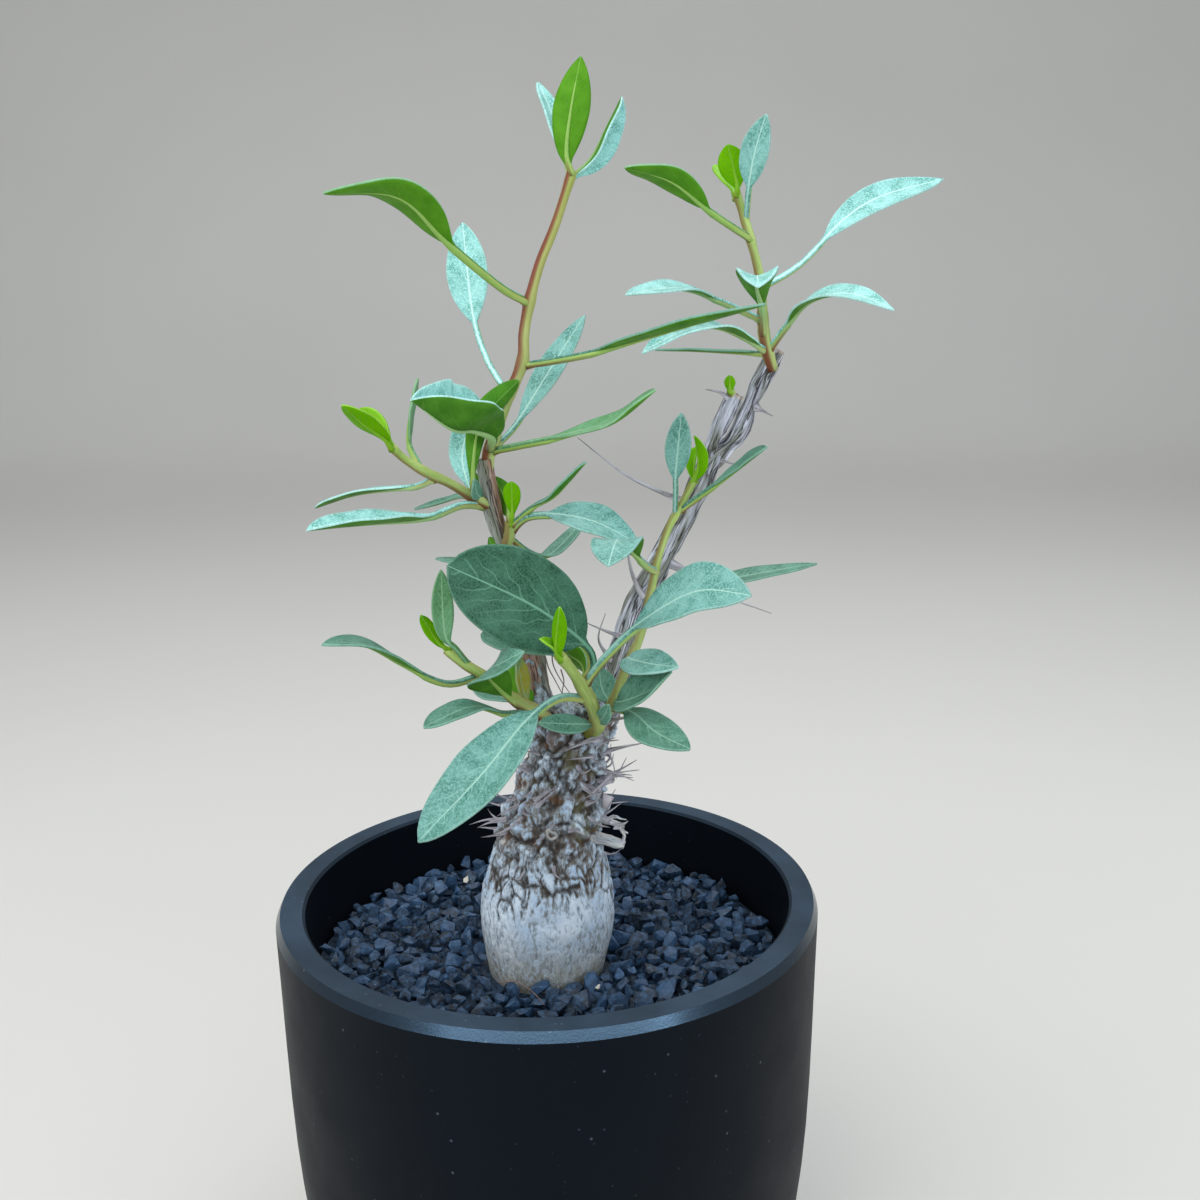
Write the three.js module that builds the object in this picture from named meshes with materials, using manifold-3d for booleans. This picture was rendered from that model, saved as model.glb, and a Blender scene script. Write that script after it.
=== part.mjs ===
// Potted boojum tree: a swollen caudex with a rough spiny neck, two woody stems and leafy shoots, in a
// matt black round pot filled with dark angular gravel.
// Millimetres, +Z up. The origin is the centre of the pot's underside, and the front faces -Y.

import * as THREE from "three";
import { mergeVertices } from "three/addons/utils/BufferGeometryUtils.js";
import Module from "manifold-3d";

const wasm = await Module();
wasm.setup();
const { Manifold, Mesh } = wasm;

// Driving dimensions

const RIM_RADIUS = 60;
const POT_HEIGHT = 108;
const POT_SIDES = 40;
const RIM_WIDTH = 6.3;
const CHAMFER = [1, 2];
const FOOT_RADIUS = 38;
const FOOT_WIDTH = 7;
const PAD_RADIUS = 12;
const RECESS = 2;
const FLOOR_THICKNESS = 8;
const NOTCH_WIDTH = 7;
const DRAIN_RADIUS = 4;
const DRAIN_CIRCLE = 21;

const GRAVEL_LEVEL = 93.4;
const SOIL_LEVEL = 90;
const STONE_SIZE = 3.1;
const STONE_COUNT = 185;

const GAP = 0.3;
const FILLING_GAP = 0.5;
const WOOD_CLEARANCE = 0.45;
const CAUDEX_CENTRE = [-0.5, -4.5];
const GRAVEL_HOLE = 14.8;
const SOIL_HOLE = 13.6;

const NECK = [122, 150];
const KNOB_COUNT = 16;
const KNOB_SIZE = 2.4;

const LEAF_HALF_THICKNESS = 0.35;
const MIDRIB_HALF_THICKNESS = 0.55;
const STALK_RADIUS = 0.6;

// The turn between neighbours that spreads things evenly over a disc or a cone.
const GOLDEN_ANGLE = 2.39996;

// The caudex as level rings: height, centre x, radius, and how rough the bark is there.
const CAUDEX = [
  [73, -0.5, 8.0, 0],
  [76, -0.5, 11.0, 0],
  [83, -0.6, 12.0, 0],
  [90, -0.8, 12.5, 0.2],
  [95, -0.6, 13.4, 0.3],
  [101, -0.3, 14.6, 0.4],
  [106, -0.2, 14.9, 0.4],
  [111, -0.1, 14.5, 0.5],
  [115, 0.2, 13.4, 0.6],
  [119, 0.4, 12.5, 0.8],
  [123, 0.2, 12.2, 1.0],
  [127, 1.0, 11.4, 1.1],
  [131, 2.3, 10.5, 1.1],
  [135, 3.2, 10.0, 1.1],
  [139, 4.2, 9.5, 1.0],
  [143, 5.0, 9.0, 1.0],
  [147, 5.8, 8.4, 0.9],
  [151, 6.8, 7.2, 0.7],
  [154, 7.4, 5.0, 0.4],
];

// Woody stems: points from the neck upwards, radius at the foot and at the top.
const WOOD = [
  { name: "right stem", radius: [3.3, 2.3],
    points: [[11, -3.5, 146], [13.5, -3, 152], [17, -1, 163], [21, 1, 174], [26, 2, 183], [32, 4, 195],
      [37, 5, 205]] },
  { name: "left fork", radius: [2.0, 1.75], points: [[35, 4.6, 201], [38.5, 5, 211], [41.5, 5, 217.5]] },
  { name: "right fork", radius: [2.3, 1.75],
    points: [[35.5, 4.8, 203], [41.5, 6, 208], [44.5, 7, 213.5], [46.5, 7, 219], [50.5, 7, 226.5]] },
  { name: "left stem", radius: [2.5, 1.7],
    points: [[3.5, -5.5, 146], [0.5, -6, 152], [-2, -7, 165], [-5, -7, 178], [-7.5, -8, 189],
      [-9.5, -9, 197.5], [-10.5, -9, 206]] },
];

// Spines and dead stubs on the wood: radius at the foot, then the line to the tip.
const SPINES = [
  [0.75, [[31, 3.6, 195], [25.5, -3, 198], [17.5, -11, 203], [8.5, -18, 211]]],
  [0.7, [[40.5, 5, 216], [38, 2, 218], [34.5, -3, 219]]],
  [0.7, [[46, 6, 214.5], [49, 2, 213]]],
  [0.7, [[37, 5, 204], [41.5, 1, 203]]],
  [0.9, [[26.5, 2, 182.5], [32, -1, 180], [38.5, -6, 176.5], [47.5, -12, 174]]],
  [0.75, [[22, 0, 174.5], [19, -6, 182], [17.5, -12, 193]]],
  [0.75, [[18, -2, 166.5], [14, -8, 169.5], [9.5, -14, 173]]],
  [0.6, [[14.5, -3, 162], [12, -8, 168], [13.5, -10, 174]]],
  [1.0, [[11.5, -10, 147], [9.5, -15, 148], [4, -19, 147]]],
  [0.8, [[10, -9, 142.5], [10, -15, 144.5], [5, -18, 145]]],
  [0.9, [[11.5, -6, 142], [16, -11, 145], [21.5, -15, 147.5]]],
  [0.8, [[11, -7, 139], [15.5, -13, 140], [19, -16, 139.5]]],
  [0.8, [[-2, -12, 132.5], [0.5, -17, 136], [3.5, -20, 140]]],
  [0.8, [[9, -10, 136], [12, -16, 137], [9, -20, 137.5]]],
  [0.7, [[-5.5, -6, 131.5], [-8.5, -8, 133], [-11, -9, 134.5]]],
  [0.7, [[-2.5, -8, 138.5], [-5, -12, 141.5], [-6.5, -15, 146]]],
  [0.8, [[2, 3, 134], [-1, 8, 137], [-2, 12, 141]]],
  [0.8, [[7.5, 1.5, 142.5], [10, 8, 145], [9, 13, 149]]],
  [0.7, [[8, 0.5, 131], [15, 6, 132], [18, 8, 136]]],
  [1.3, [[9.5, -6, 123], [14.5, -9, 125], [17, -10, 127.5]]],
  [1.2, [[9.5, -6, 123], [14.5, -9, 123.5], [16.5, -11, 122]]],
  [1.2, [[11, -6, 130], [14.5, -8, 132], [15.5, -10, 130]]],
];

// A leaf: blade width, share of its length that is bare stalk, where the blade is widest, the way its
// upper side faces there, how far the two halves fold up (degrees), and its midrib from stem to tip.
// A higher taper gives more pointed ends, and twist turns the blade along its length (degrees).
function leaf(width, stalk, widest, face, fold, midrib, taper = 1.7, twist = 0) {
  return { width, stalk, widest, face, fold, midrib, taper, twist };
}

// Leafy shoots, each with its own green stem: points, radius at the foot and at the top.
const SHOOTS = [
  { name: "shoot_left_leader",
    radius: [1.3, 0.9],
    stem: [[-10, -9, 204], [-9.5, -9, 207.5], [-6, -10, 217], [-2.5, -9, 225], [-2, -8, 231],
      [-0.5, -8, 238], [1.5, -7, 244.5], [4.5, -6, 251.5], [8, -5, 261.5]],
    leaves: [
      leaf(7.2, 0.08, 0.5, [0.1, 1, 0.2], 15, [[8, -5, 261], [7, -6, 265], [8, -6, 273], [10, -2, 283]]),
      leaf(4.4, 0.1, 0.55, [0.7, -1, 0.3], 20, [[8, -5, 261], [6, -2, 266], [4, 3, 273], [1, 8, 280]]),
      leaf(7, 0.06, 0.5, [0.9, -0.5, -0.2], 42, [[8, -5, 260], [12, -4, 264], [15, -3, 270], [18, 1, 276]]),
      leaf(9.5, 0.42, 0.5, [-0.1, 0.2, 1], 14,
        [[-1, -8, 237], [-6, -14, 240], [-15, -24, 248], [-22, -34, 255], [-33, -44, 255]]),
      leaf(8.6, 0.46, 0.5, [-0.1, -1, 0.4], 12,
        [[-6, -10, 220], [-10, -4, 226], [-13, 2, 235], [-15, 8, 253]]),
      leaf(8, 0.36, 0.5, [0, 0, 1], 10,
        [[-2, -9, 225], [4, -14, 226], [13, -24, 228], [27, -36, 232], [41, -46, 236]]),
      leaf(6, 0.22, 0.5, [-0.4, -1, 0.5], 12, [[-8, -9, 209], [-4, -5, 213], [2, 2, 222], [10, 8, 234]]),
      leaf(19, 0.14, 0.5, [0, -0.36, 1], 60,
        [[-8.7, -10, 209], [-8.3, -15, 211.3], [-11.5, -20, 213], [-15, -27, 214], [-21, -36, 220]]),
      leaf(8, 0.36, 0.6, [-0.1, -0.35, 1], 12,
        [[-9, -9.5, 208], [-1, -15, 210], [7, -20, 212], [16, -26, 215], [23, -32, 221]]),
    ] },
  { name: "shoot_left_side",
    radius: [1.1, 0.75],
    stem: [[-9.5, -9, 196.5], [-12, -11, 198], [-17, -15, 202], [-21, -18, 204.5], [-25, -20, 207.5],
      [-27, -22, 210]],
    leaves: [
      leaf(5, 0.12, 0.62, [-0.2, 1, 0.4], 25,
        [[-13, -12, 199], [-12.5, -13, 206], [-11.4, -13.3, 212], [-9.2, -13.7, 216], [-3, -13.5, 222]]),
      leaf(6, 0.1, 0.5, [-0.3, -1, 0.1], 22, [[-13, -12, 199], [-15, -9, 206], [-14, -6, 212], [-13, -3, 219]]),
      leaf(3, 0.1, 0.5, [0, 1, 0.3], 10, [[-12, -11, 198], [-13, -7, 200.5], [-14, -3, 203]]),
      leaf(4.6, 0.1, 0.5, [0.2, 0.9, 0.7], 18, [[-27, -22, 210], [-28, -24, 212], [-31, -28, 215], [-34, -33, 219]]),
      leaf(4, 0.1, 0.5, [0.3, -0.6, -0.3], 30, [[-27, -22, 210], [-29, -19, 213], [-31, -17, 215], [-34, -15, 217]]),
      leaf(4.4, 0.3, 0.55, [1, 0.05, 0], 6, [[-22, -18, 205.5], [-25, -12, 210], [-25, -8, 216], [-24, -4, 222]]),
      leaf(5.5, 0.25, 0.55, [0, 0, 1], 12, [[-20, -17, 203.5], [-25, -10, 201], [-38, 0, 198], [-49, 8, 194]]),
      leaf(8, 0.34, 0.55, [0, -0.15, 1], 26,
        [[-11, -10, 197], [-15, -16, 198], [-21, -26, 197], [-29, -38, 198], [-38, -50, 199]]),
      leaf(4.4, 0.15, 0.55, [0, -0.3, 1], 10, [[-12, -11, 198], [-16, -5, 198], [-21, -1, 196], [-27, 4, 194]]),
      leaf(2.6, 0.1, 0.5, [0.3, -1, 0.4], 10, [[-11, -10, 198], [-12, -14, 200], [-12, -17, 203]]),
    ] },
  { name: "shoot_left_middle",
    radius: [1.1, 0.9],
    stem: [[-7.5, -8, 187.5], [-6, -10, 190], [-5.5, -11, 193.5]],
    leaves: [
      leaf(3.4, 0.25, 0.62, [0, 1, 0.2], 4, [[-5.5, -11, 193], [-5, -12, 196], [-5, -13, 202]]),
      leaf(4.2, 0.25, 0.6, [-0.3, -0.1, 1], 14, [[-5.5, -11, 193], [-1, -14, 197], [4, -18, 200], [10, -24, 207]]),
      leaf(9, 0.34, 0.45, [0.1, -0.5, 0.8], 14,
        [[-5.5, -10.5, 192], [-2, -13, 195], [4, -15, 195.5], [12, -17, 194], [20.5, -18, 189.5]]),
      leaf(4.5, 0.15, 0.5, [0, 1, 0.2], 20, [[-5.5, -11, 193], [-6.5, -7.5, 197], [-9, -5, 202]]),
      leaf(4.6, 0.3, 0.5, [-0.3, -0.4, 1], 8, [[-6, -10, 190.5], [-2, -4, 186], [2, 3, 184], [9, 16, 189]]),
    ] },
  { name: "shoot_left_back",
    radius: [0.9, 0.8],
    stem: [[-5.5, -7, 179], [-7.5, -4.5, 181], [-8.5, -3.5, 182]],
    leaves: [
      leaf(5, 0.15, 0.5, [0, 0, 1], 10, [[-8, -4, 181.5], [-13, -2, 183], [-18, 1, 183], [-23, 5, 183]]),
      leaf(5, 0.15, 0.5, [0.2, 1, 0.2], 20, [[-8, -4, 181.5], [-9, -2, 184], [-11, 2, 188]]),
    ] },
  { name: "shoot_low_left",
    radius: [1.4, 0.8],
    stem: [[1.5, -9, 150.5], [-1, -12, 153.5], [-4.5, -15, 156.5], [-8, -18, 160.5], [-11.5, -20, 164],
      [-16, -20, 167], [-18.5, -19, 169]],
    leaves: [
      leaf(2.4, 0.12, 0.55, [-0.4, 1, 0.3], 12, [[-18, -19, 169], [-20, -20, 171], [-23, -22, 177]]),
      leaf(4.2, 0.32, 0.5, [0.2, -1, 0.2], 10, [[-14, -20, 166], [-16, -23, 170], [-18, -25, 174], [-18, -27, 187]]),
      leaf(6.5, 0.34, 0.55, [0, -0.3, 1], 14,
        [[-12, -20, 164], [-18, -25, 164], [-25, -33, 170], [-31, -41, 176], [-37, -48, 178]]),
      leaf(9, 0.1, 0.48, [-0.5, -0.1, 0.9], 8,
        [[-5, -15.5, 157], [-8, -20, 161], [-10, -26, 166], [-6, -32.6, 170], [-2, -35, 172.8]], 1.5, 90),
      leaf(5, 0.15, 0.5, [0.3, -0.8, 0.7], 10, [[-4, -14, 156], [-8, -10, 156], [-12, -5, 156], [-16, 0, 158]]),
      leaf(6, 0.3, 0.62, [0, -0.3, 1], 12, [[-2, -13, 154.5], [-7, -20, 156], [-13, -29, 160], [-21, -38, 159]]),
      leaf(4.6, 0.15, 0.5, [0.8, -0.6, 0], 26, [[-2, -13, 154], [-4, -12, 158], [-5, -12, 166]]),
      leaf(6, 0.12, 0.5, [0.3, 1, 0], 16, [[-1, -12, 153.5], [-4, -8, 156], [-6, -3, 164]]),
    ] },
  { name: "shoot_centre",
    radius: [1.7, 1.0],
    stem: [[9, -9, 147.5], [11.5, -14, 151], [10.5, -19, 157], [8.5, -23, 162.5], [6.5, -27, 167],
      [4.5, -30, 170.5]],
    leaves: [
      leaf(18.5, 0.24, 0.52, [0.12, -0.9, 0.3], 8,
        [[9, -22, 162], [11, -21, 166], [9, -22, 171], [-1, -27, 180], [-16, -33, 189]], 1.25),
      leaf(12, 0.32, 0.52, [-0.3, -0.75, 0.6], 16,
        [[10, -20, 159], [4, -26, 161], [-2, -35, 159], [-10, -46, 152], [-21, -52, 142]], 1.5),
      leaf(4.4, 0.08, 0.55, [0, -0.75, 0.6], 8, [[11, -15, 151.5], [6, -22, 154], [0, -27, 156]]),
      leaf(3.6, 0.1, 0.5, [0.5, 0.9, 0.1], 32, [[5, -30, 170], [4, -33, 173], [5, -38, 182]]),
      leaf(2.4, 0.1, 0.5, [0.1, -0.6, 0.8], 30, [[5, -30, 170], [3, -32, 173], [1, -34, 175]]),
      leaf(8, 0.1, 0.62, [0.1, -0.8, 0.7], 14, [[5, -29, 170], [0, -21, 170], [-6, -14, 170], [-12, -8, 170]], 1.4),
      leaf(5.5, 0.1, 0.55, [0.5, 1, 0.2], 14, [[9, -22, 161], [9, -15, 164], [6, -9, 165], [4, -4, 166]]),
      leaf(11.5, 0.38, 0.52, [-0.1, -0.7, 0.7], 14,
        [[9, -23, 163], [13, -26, 169], [20, -31, 177], [30, -40, 185], [39, -48, 186]]),
      leaf(3.2, 0.1, 0.55, [-0.2, -1, 0.3], 14, [[11.5, -15, 152], [13, -20, 155], [14, -22, 158]]),
    ] },
  { name: "shoot_slim_right",
    radius: [1.1, 0.65],
    stem: [[10.5, -7, 149.5], [14, -12.5, 154], [17, -15, 162], [20.5, -14, 170], [22.5, -12, 177],
      [24, -10, 184], [26.5, -8, 191], [28.5, -7, 194.5], [32, -5, 200.5]],
    leaves: [
      leaf(5, 0.1, 0.5, [0.9, 0.45, 0.1], 44, [[32, -5, 200], [33, -6, 204], [32, -7, 210]]),
      leaf(4, 0.1, 0.5, [-0.6, 0.8, 0.1], 30, [[32, -5, 200], [32, -3, 204], [33, 0, 207]]),
      leaf(5.2, 0.4, 0.5, [-0.1, -1, 0.2], 14, [[28, -7, 193], [28, -9, 199], [28, -10, 203], [29, -12, 215]]),
      leaf(4.6, 0.35, 0.6, [-0.3, -0.5, 1], 20, [[29, -7, 195], [34, -9, 199], [40, -14, 204], [45, -20, 209]]),
      leaf(9.5, 0.3, 0.6, [-0.1, -0.2, 1], 4,
        [[24, -10, 183], [22, -15, 185], [19, -22, 189], [16, -30, 193], [14, -40, 190]], 1.9),
      leaf(7.4, 0.14, 0.5, [0.05, -0.8, 0.7], 8, [[19, -14.5, 166], [18, -20, 167], [22, -28, 168], [27, -34, 169]]),
      leaf(9.5, 0.12, 0.55, [-0.35, -0.55, 0.7], 28, [[15, -13.5, 156], [17, -20, 158], [22, -26, 162], [26, -30, 167]]),
      leaf(8.4, 0.2, 0.55, [0.2, -0.8, 0.6], 6, [[14.5, -13, 155], [19, -22, 156], [23, -31, 155], [29, -38, 154]]),
      leaf(6.6, 0.12, 0.5, [0.3, -1, 0.4], 14, [[14.5, -13, 155], [12.5, -10.5, 158], [12, -8, 162]]),
      leaf(5, 0.3, 0.45, [0, -0.35, 1], 10, [[23, -12, 178], [31, -4, 177], [42, 4, 178], [61, 14, 179]]),
    ] },
  { name: "shoot_top_right",
    radius: [1.2, 0.75],
    stem: [[49.3, 6.3, 222.5], [48, 4.6, 226], [47, 4, 230.5], [46, 3, 240.5], [44, 3, 248.5],
      [42.5, 4, 253.5], [41, 4, 258]],
    leaves: [
      leaf(5.6, 0.14, 0.55, [0, 1, 0.1], 8, [[41, 4, 257.5], [41, 3, 259.5], [39, 2, 267]]),
      leaf(3.4, 0.15, 0.55, [0.5, -1, 0.3], 10, [[41, 4, 257], [40, 7, 260], [37, 11, 264]]),
      leaf(5.8, 0.36, 0.48, [-0.3, -1, 0.2], 14, [[43, 4, 252], [43, 0, 258], [44, -2, 265], [46, -3, 272]]),
      leaf(7, 0.36, 0.5, [-0.2, 0.25, 1], 12, [[44, 3, 249], [35, -4, 254], [27, -11, 259], [18, -18, 261]]),
      leaf(6.8, 0.36, 0.48, [0.15, -0.75, 0.7], 12,
        [[46, 3, 239], [55, 8, 244], [65, 15, 253], [74, 20, 258], [89, 28, 262]]),
      leaf(8.5, 0.22, 0.58, [0, 0.2, 1], 22,
        [[47, 4, 230], [46, -1, 235], [44, -8, 239], [43, -17, 241], [42, -27, 239]]),
      leaf(7, 0.34, 0.52, [0, -0.35, 1], 12, [[46.5, 3.5, 233], [37, -1, 237], [29, -8, 239], [18, -16, 238]]),
      leaf(7.4, 0.1, 0.5, [-0.1, -0.3, 1], 14,
        [[48, 4.6, 226.5], [43, -1, 229], [36, -7, 231.5], [28.5, -13, 230.5], [21, -19, 227]]),
      leaf(6, 0.1, 0.5, [0, 0.05, 1], 6, [[48, 4.6, 226], [44, 9, 226], [35, 18, 226], [25.5, 26, 226]]),
      leaf(7, 0.22, 0.42, [0.1, -0.5, 0.8], 14,
        [[48, 4.5, 226.5], [51.5, 1, 232], [55.5, -4, 236.5], [62, -11, 237.5], [69, -18, 234.5]]),
    ] },
  { name: "bud_left_fork",
    radius: [0.7, 0.7],
    stem: [[41, 4.6, 216], [40.2, 3.6, 218.5]],
    leaves: [
      leaf(3, 0.1, 0.5, [0.2, 1, 0], 24, [[40.2, 3.6, 218], [40, 3, 219.5], [40, 2.5, 221.5]]),
    ] },
];

// Small helpers

const point = ([x, y, z]) => new THREE.Vector3(x, y, z);

// Repeatable random numbers from 0 to 1.
function seeded(seed) {
  let state = seed;
  return () => {
    state = (state * 1664525 + 1013904223) % 4294967296;
    return state / 4294967296;
  };
}

// A smooth line through hand-placed points.
const smoothLine = (points) => new THREE.CatmullRomCurve3(points.map(point), false, "catmullrom", 0.5);

// A solid from vertices and triangles, turned the right way out.
function solidFrom(vertices, triangles) {
  const solid = new Manifold(new Mesh({
    numProp: 3,
    vertProperties: Float32Array.from(vertices.flatMap((v) => [v.x, v.y, v.z])),
    triVerts: Uint32Array.from(triangles.flat()),
  }));
  return solid;
}

// A solid from one of three.js's closed geometries.
function solidOf(geometry) {
  const bare = geometry.clone();
  bare.deleteAttribute("normal");
  bare.deleteAttribute("uv");
  const merged = mergeVertices(bare, 1e-4);
  const place = merged.attributes.position;
  const vertices = [];
  for (let i = 0; i < place.count; i++) vertices.push(new THREE.Vector3().fromBufferAttribute(place, i));
  const triangles = [];
  let volume = 0;
  for (let i = 0; i < merged.index.count; i += 3) {
    const [a, b, c] = [0, 1, 2].map((k) => merged.index.getX(i + k));
    if (a === b || b === c || c === a) continue;
    triangles.push([a, b, c]);
    volume += vertices[a].dot(vertices[b].clone().cross(vertices[c]));
  }
  return solidFrom(vertices, volume > 0 ? triangles : triangles.map(([a, b, c]) => [a, c, b]));
}

// A closed skin over rings that run counter-clockwise as seen from the far end. The sides listed in
// crossed are split along their other diagonal, and caps are the triangles of an end ring.
function skin(rings, caps, crossed = []) {
  const sides = rings[0].length;
  const triangles = [];
  for (let i = 0; i + 1 < rings.length; i++) {
    for (let j = 0; j < sides; j++) {
      const a = i * sides + j;
      const b = i * sides + (j + 1) % sides;
      const c = a + sides;
      const d = b + sides;
      if (crossed.includes(j)) triangles.push([a, b, c], [b, d, c]);
      else triangles.push([a, b, d], [a, d, c]);
    }
  }
  const last = (rings.length - 1) * sides;
  for (const [a, b, c] of caps) {
    triangles.push([a, c, b]);
    triangles.push([last + a, last + b, last + c]);
  }
  return solidFrom(rings.flat(), triangles);
}

// A fan of triangles over a convex end ring.
const fan = (sides) => Array.from({ length: sides - 2 }, (_, j) => [0, j + 1, j + 2]);

// Directions along a line: forward, face and side, carried along without turning from where face is given.
function framesAlong(curve, stations, face, given) {
  const frames = stations.map((u) => ({
    place: curve.getPointAt(u),
    forward: curve.getTangentAt(u),
    face: null,
  }));
  const level = (frame, direction) =>
    direction.clone().addScaledVector(frame.forward, -direction.dot(frame.forward)).normalize();
  frames[given].face = level(frames[given], face);
  for (let i = given + 1; i < frames.length; i++) frames[i].face = level(frames[i], frames[i - 1].face);
  for (let i = given - 1; i >= 0; i--) frames[i].face = level(frames[i], frames[i + 1].face);
  return frames;
}

// A round tapering tube along a smooth line. Its flat sides and its far end move out by grow.
function tube(points, [footRadius, topRadius], sides, step, grow = 0) {
  const thicker = grow / Math.cos(Math.PI / sides);
  const curve = smoothLine(points);
  const count = Math.max(1, Math.round(curve.getLength() / step));
  const stations = Array.from({ length: count + 1 }, (_, i) => i / count);
  const start = curve.getTangentAt(0);
  const across = Math.abs(start.z) > 0.9 ? new THREE.Vector3(1, 0, 0) : new THREE.Vector3(0, 0, 1);
  const frames = framesAlong(curve, stations, across, 0);
  const rings = frames.map((frame, i) => {
    const radius = footRadius + (topRadius - footRadius) * stations[i] + thicker;
    const side = frame.forward.clone().cross(frame.face);
    const end = frame.place.clone().addScaledVector(frame.forward, i === count ? grow : 0);
    return Array.from({ length: sides }, (_, j) => {
      const angle = j * 2 * Math.PI / sides;
      return end.clone()
        .addScaledVector(frame.face, radius * Math.cos(angle))
        .addScaledVector(side, radius * Math.sin(angle));
    });
  });
  return skin(rings, fan(sides));
}

// A vase-like solid turned about Z from a closed outline of [radius, height].
function turned(outline) {
  const points = outline.map(([radius, height]) => new THREE.Vector2(radius, height));
  const geometry = new THREE.LatheGeometry([...points, points[0]], POT_SIDES);
  return solidOf(geometry.rotateX(Math.PI / 2));
}

// A plain upright cylinder.
function post(radius, bottom, top, sides, [x, y] = [0, 0]) {
  const geometry = new THREE.CylinderGeometry(radius, radius, top - bottom, sides);
  return solidOf(geometry.rotateX(Math.PI / 2)).translate([x, y, (bottom + top) / 2]);
}

// Pot

// Outer wall: nearly straight at the top, curving in towards the foot.
function outerRadius(height) {
  const d = (POT_HEIGHT - height) / 100;
  return RIM_RADIUS - 2.67 * d + 2.98 * d ** 2 - 10.5 * d ** 4;
}

function innerRadius(height) {
  const d = (POT_HEIGHT - height) / 100;
  return RIM_RADIUS - RIM_WIDTH - 3 * d - 10 * d ** 3;
}

function pot() {
  const outer = [7, 18, 32, 50, 72, 96].map((height) => [outerRadius(height), height]);
  const inner = [GRAVEL_LEVEL, 70, 40, 16].map((height) => [innerRadius(height), height]);
  const rimInside = RIM_RADIUS - RIM_WIDTH;
  const footInside = FOOT_RADIUS - FOOT_WIDTH;
  const shell = turned([
    [0, 0], [PAD_RADIUS, 0], [PAD_RADIUS + 0.8, RECESS], [footInside - 1, RECESS], [footInside, 0],
    [FOOT_RADIUS, 0], [FOOT_RADIUS + 4.5, 1.6],
    ...outer,
    [outerRadius(POT_HEIGHT - CHAMFER[1]), POT_HEIGHT - CHAMFER[1]], [RIM_RADIUS - CHAMFER[0], POT_HEIGHT],
    [rimInside + 0.6, POT_HEIGHT], [rimInside, POT_HEIGHT - 0.6],
    ...inner,
    [innerRadius(16) - 5, FLOOR_THICKNESS], [0, FLOOR_THICKNESS],
  ]);
  const cuts = [];
  for (let i = 0; i < 4; i++) {
    const angle = (i + 0.5) * Math.PI / 2;
    const centre = [DRAIN_CIRCLE * Math.cos(angle), DRAIN_CIRCLE * Math.sin(angle)];
    cuts.push(post(DRAIN_RADIUS, -1, FLOOR_THICKNESS + 1, 14, centre));
    const notch = solidOf(new THREE.BoxGeometry(2 * FOOT_WIDTH + 2, NOTCH_WIDTH, 1.5 * RECESS));
    cuts.push(notch.translate([FOOT_RADIUS - 1, 0, 0]).rotate([0, 0, angle * 180 / Math.PI]));
  }
  return shell.subtract(Manifold.union(cuts));
}

// Filling

function pottingMix() {
  const sides = [16, 40, 70, SOIL_LEVEL].map((height) => [innerRadius(height) - FILLING_GAP, height]);
  const bottom = FLOOR_THICKNESS + GAP;
  const body = turned([[0, bottom], [innerRadius(16) - 5.5, bottom], ...sides, [0, SOIL_LEVEL]]);
  return body.subtract(post(SOIL_HOLE, CAUDEX[0][0] - GAP, SOIL_LEVEL + 1, 24, CAUDEX_CENTRE));
}

// One angular stone, sunk to about half its height.
function stone(random, x, y) {
  const geometry = new THREE.OctahedronGeometry(1);
  const stretch = [0, 1, 2].map(() => STONE_SIZE * (0.85 + 0.5 * random()));
  geometry.scale(...stretch);
  geometry.rotateX(6.3 * random()).rotateY(6.3 * random()).rotateZ(6.3 * random());
  return solidOf(geometry).translate([x, y, GRAVEL_LEVEL + 0.3 * random() - 0.2]);
}

function gravelTop() {
  const random = seeded(7);
  const reach = innerRadius(GRAVEL_LEVEL) - FILLING_GAP;
  const stones = [];
  for (let i = 0; i < STONE_COUNT; i++) {
    const radius = reach * Math.sqrt((i + 0.5) / STONE_COUNT) + random() - 0.5;
    const angle = i * GOLDEN_ANGLE + 0.05 * random();
    const x = radius * Math.cos(angle);
    const y = radius * Math.sin(angle);
    if (Math.hypot(x - CAUDEX_CENTRE[0], y - CAUDEX_CENTRE[1]) < GRAVEL_HOLE + 0.4) continue;
    stones.push(stone(random, x, y));
  }
  const bed = turned([[0, SOIL_LEVEL + GAP], [reach, SOIL_LEVEL + GAP], [reach, GRAVEL_LEVEL], [0, GRAVEL_LEVEL]]);
  const room = turned([[0, SOIL_LEVEL + GAP], [reach, SOIL_LEVEL + GAP], [reach, 100], [0, 100]]);
  return Manifold.union([bed, ...stones])
    .intersect(room)
    .subtract(post(GRAVEL_HOLE, SOIL_LEVEL - 1, 101, 24, CAUDEX_CENTRE));
}

// Wood

function caudex(grow) {
  const random = seeded(21);
  const sides = 16;
  const rings = CAUDEX.map(([height, x, radius, rough]) => Array.from({ length: sides }, (_, j) => {
    const angle = j * 2 * Math.PI / sides;
    const reach = radius + rough * (random() * 1.6 - 0.8) + grow;
    return new THREE.Vector3(x + reach * Math.cos(angle), CAUDEX_CENTRE[1] + reach * Math.sin(angle), height + grow);
  }));
  return skin(rings, fan(sides));
}

// Centre and radius of the caudex at any height between its rings.
function caudexAt(height) {
  const above = CAUDEX.findIndex(([ringHeight]) => ringHeight > height);
  const [low, high] = [CAUDEX[above - 1], CAUDEX[above]];
  const share = (height - low[0]) / (high[0] - low[0]);
  return { x: THREE.MathUtils.lerp(low[1], high[1], share), radius: THREE.MathUtils.lerp(low[2], high[2], share) };
}

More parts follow.
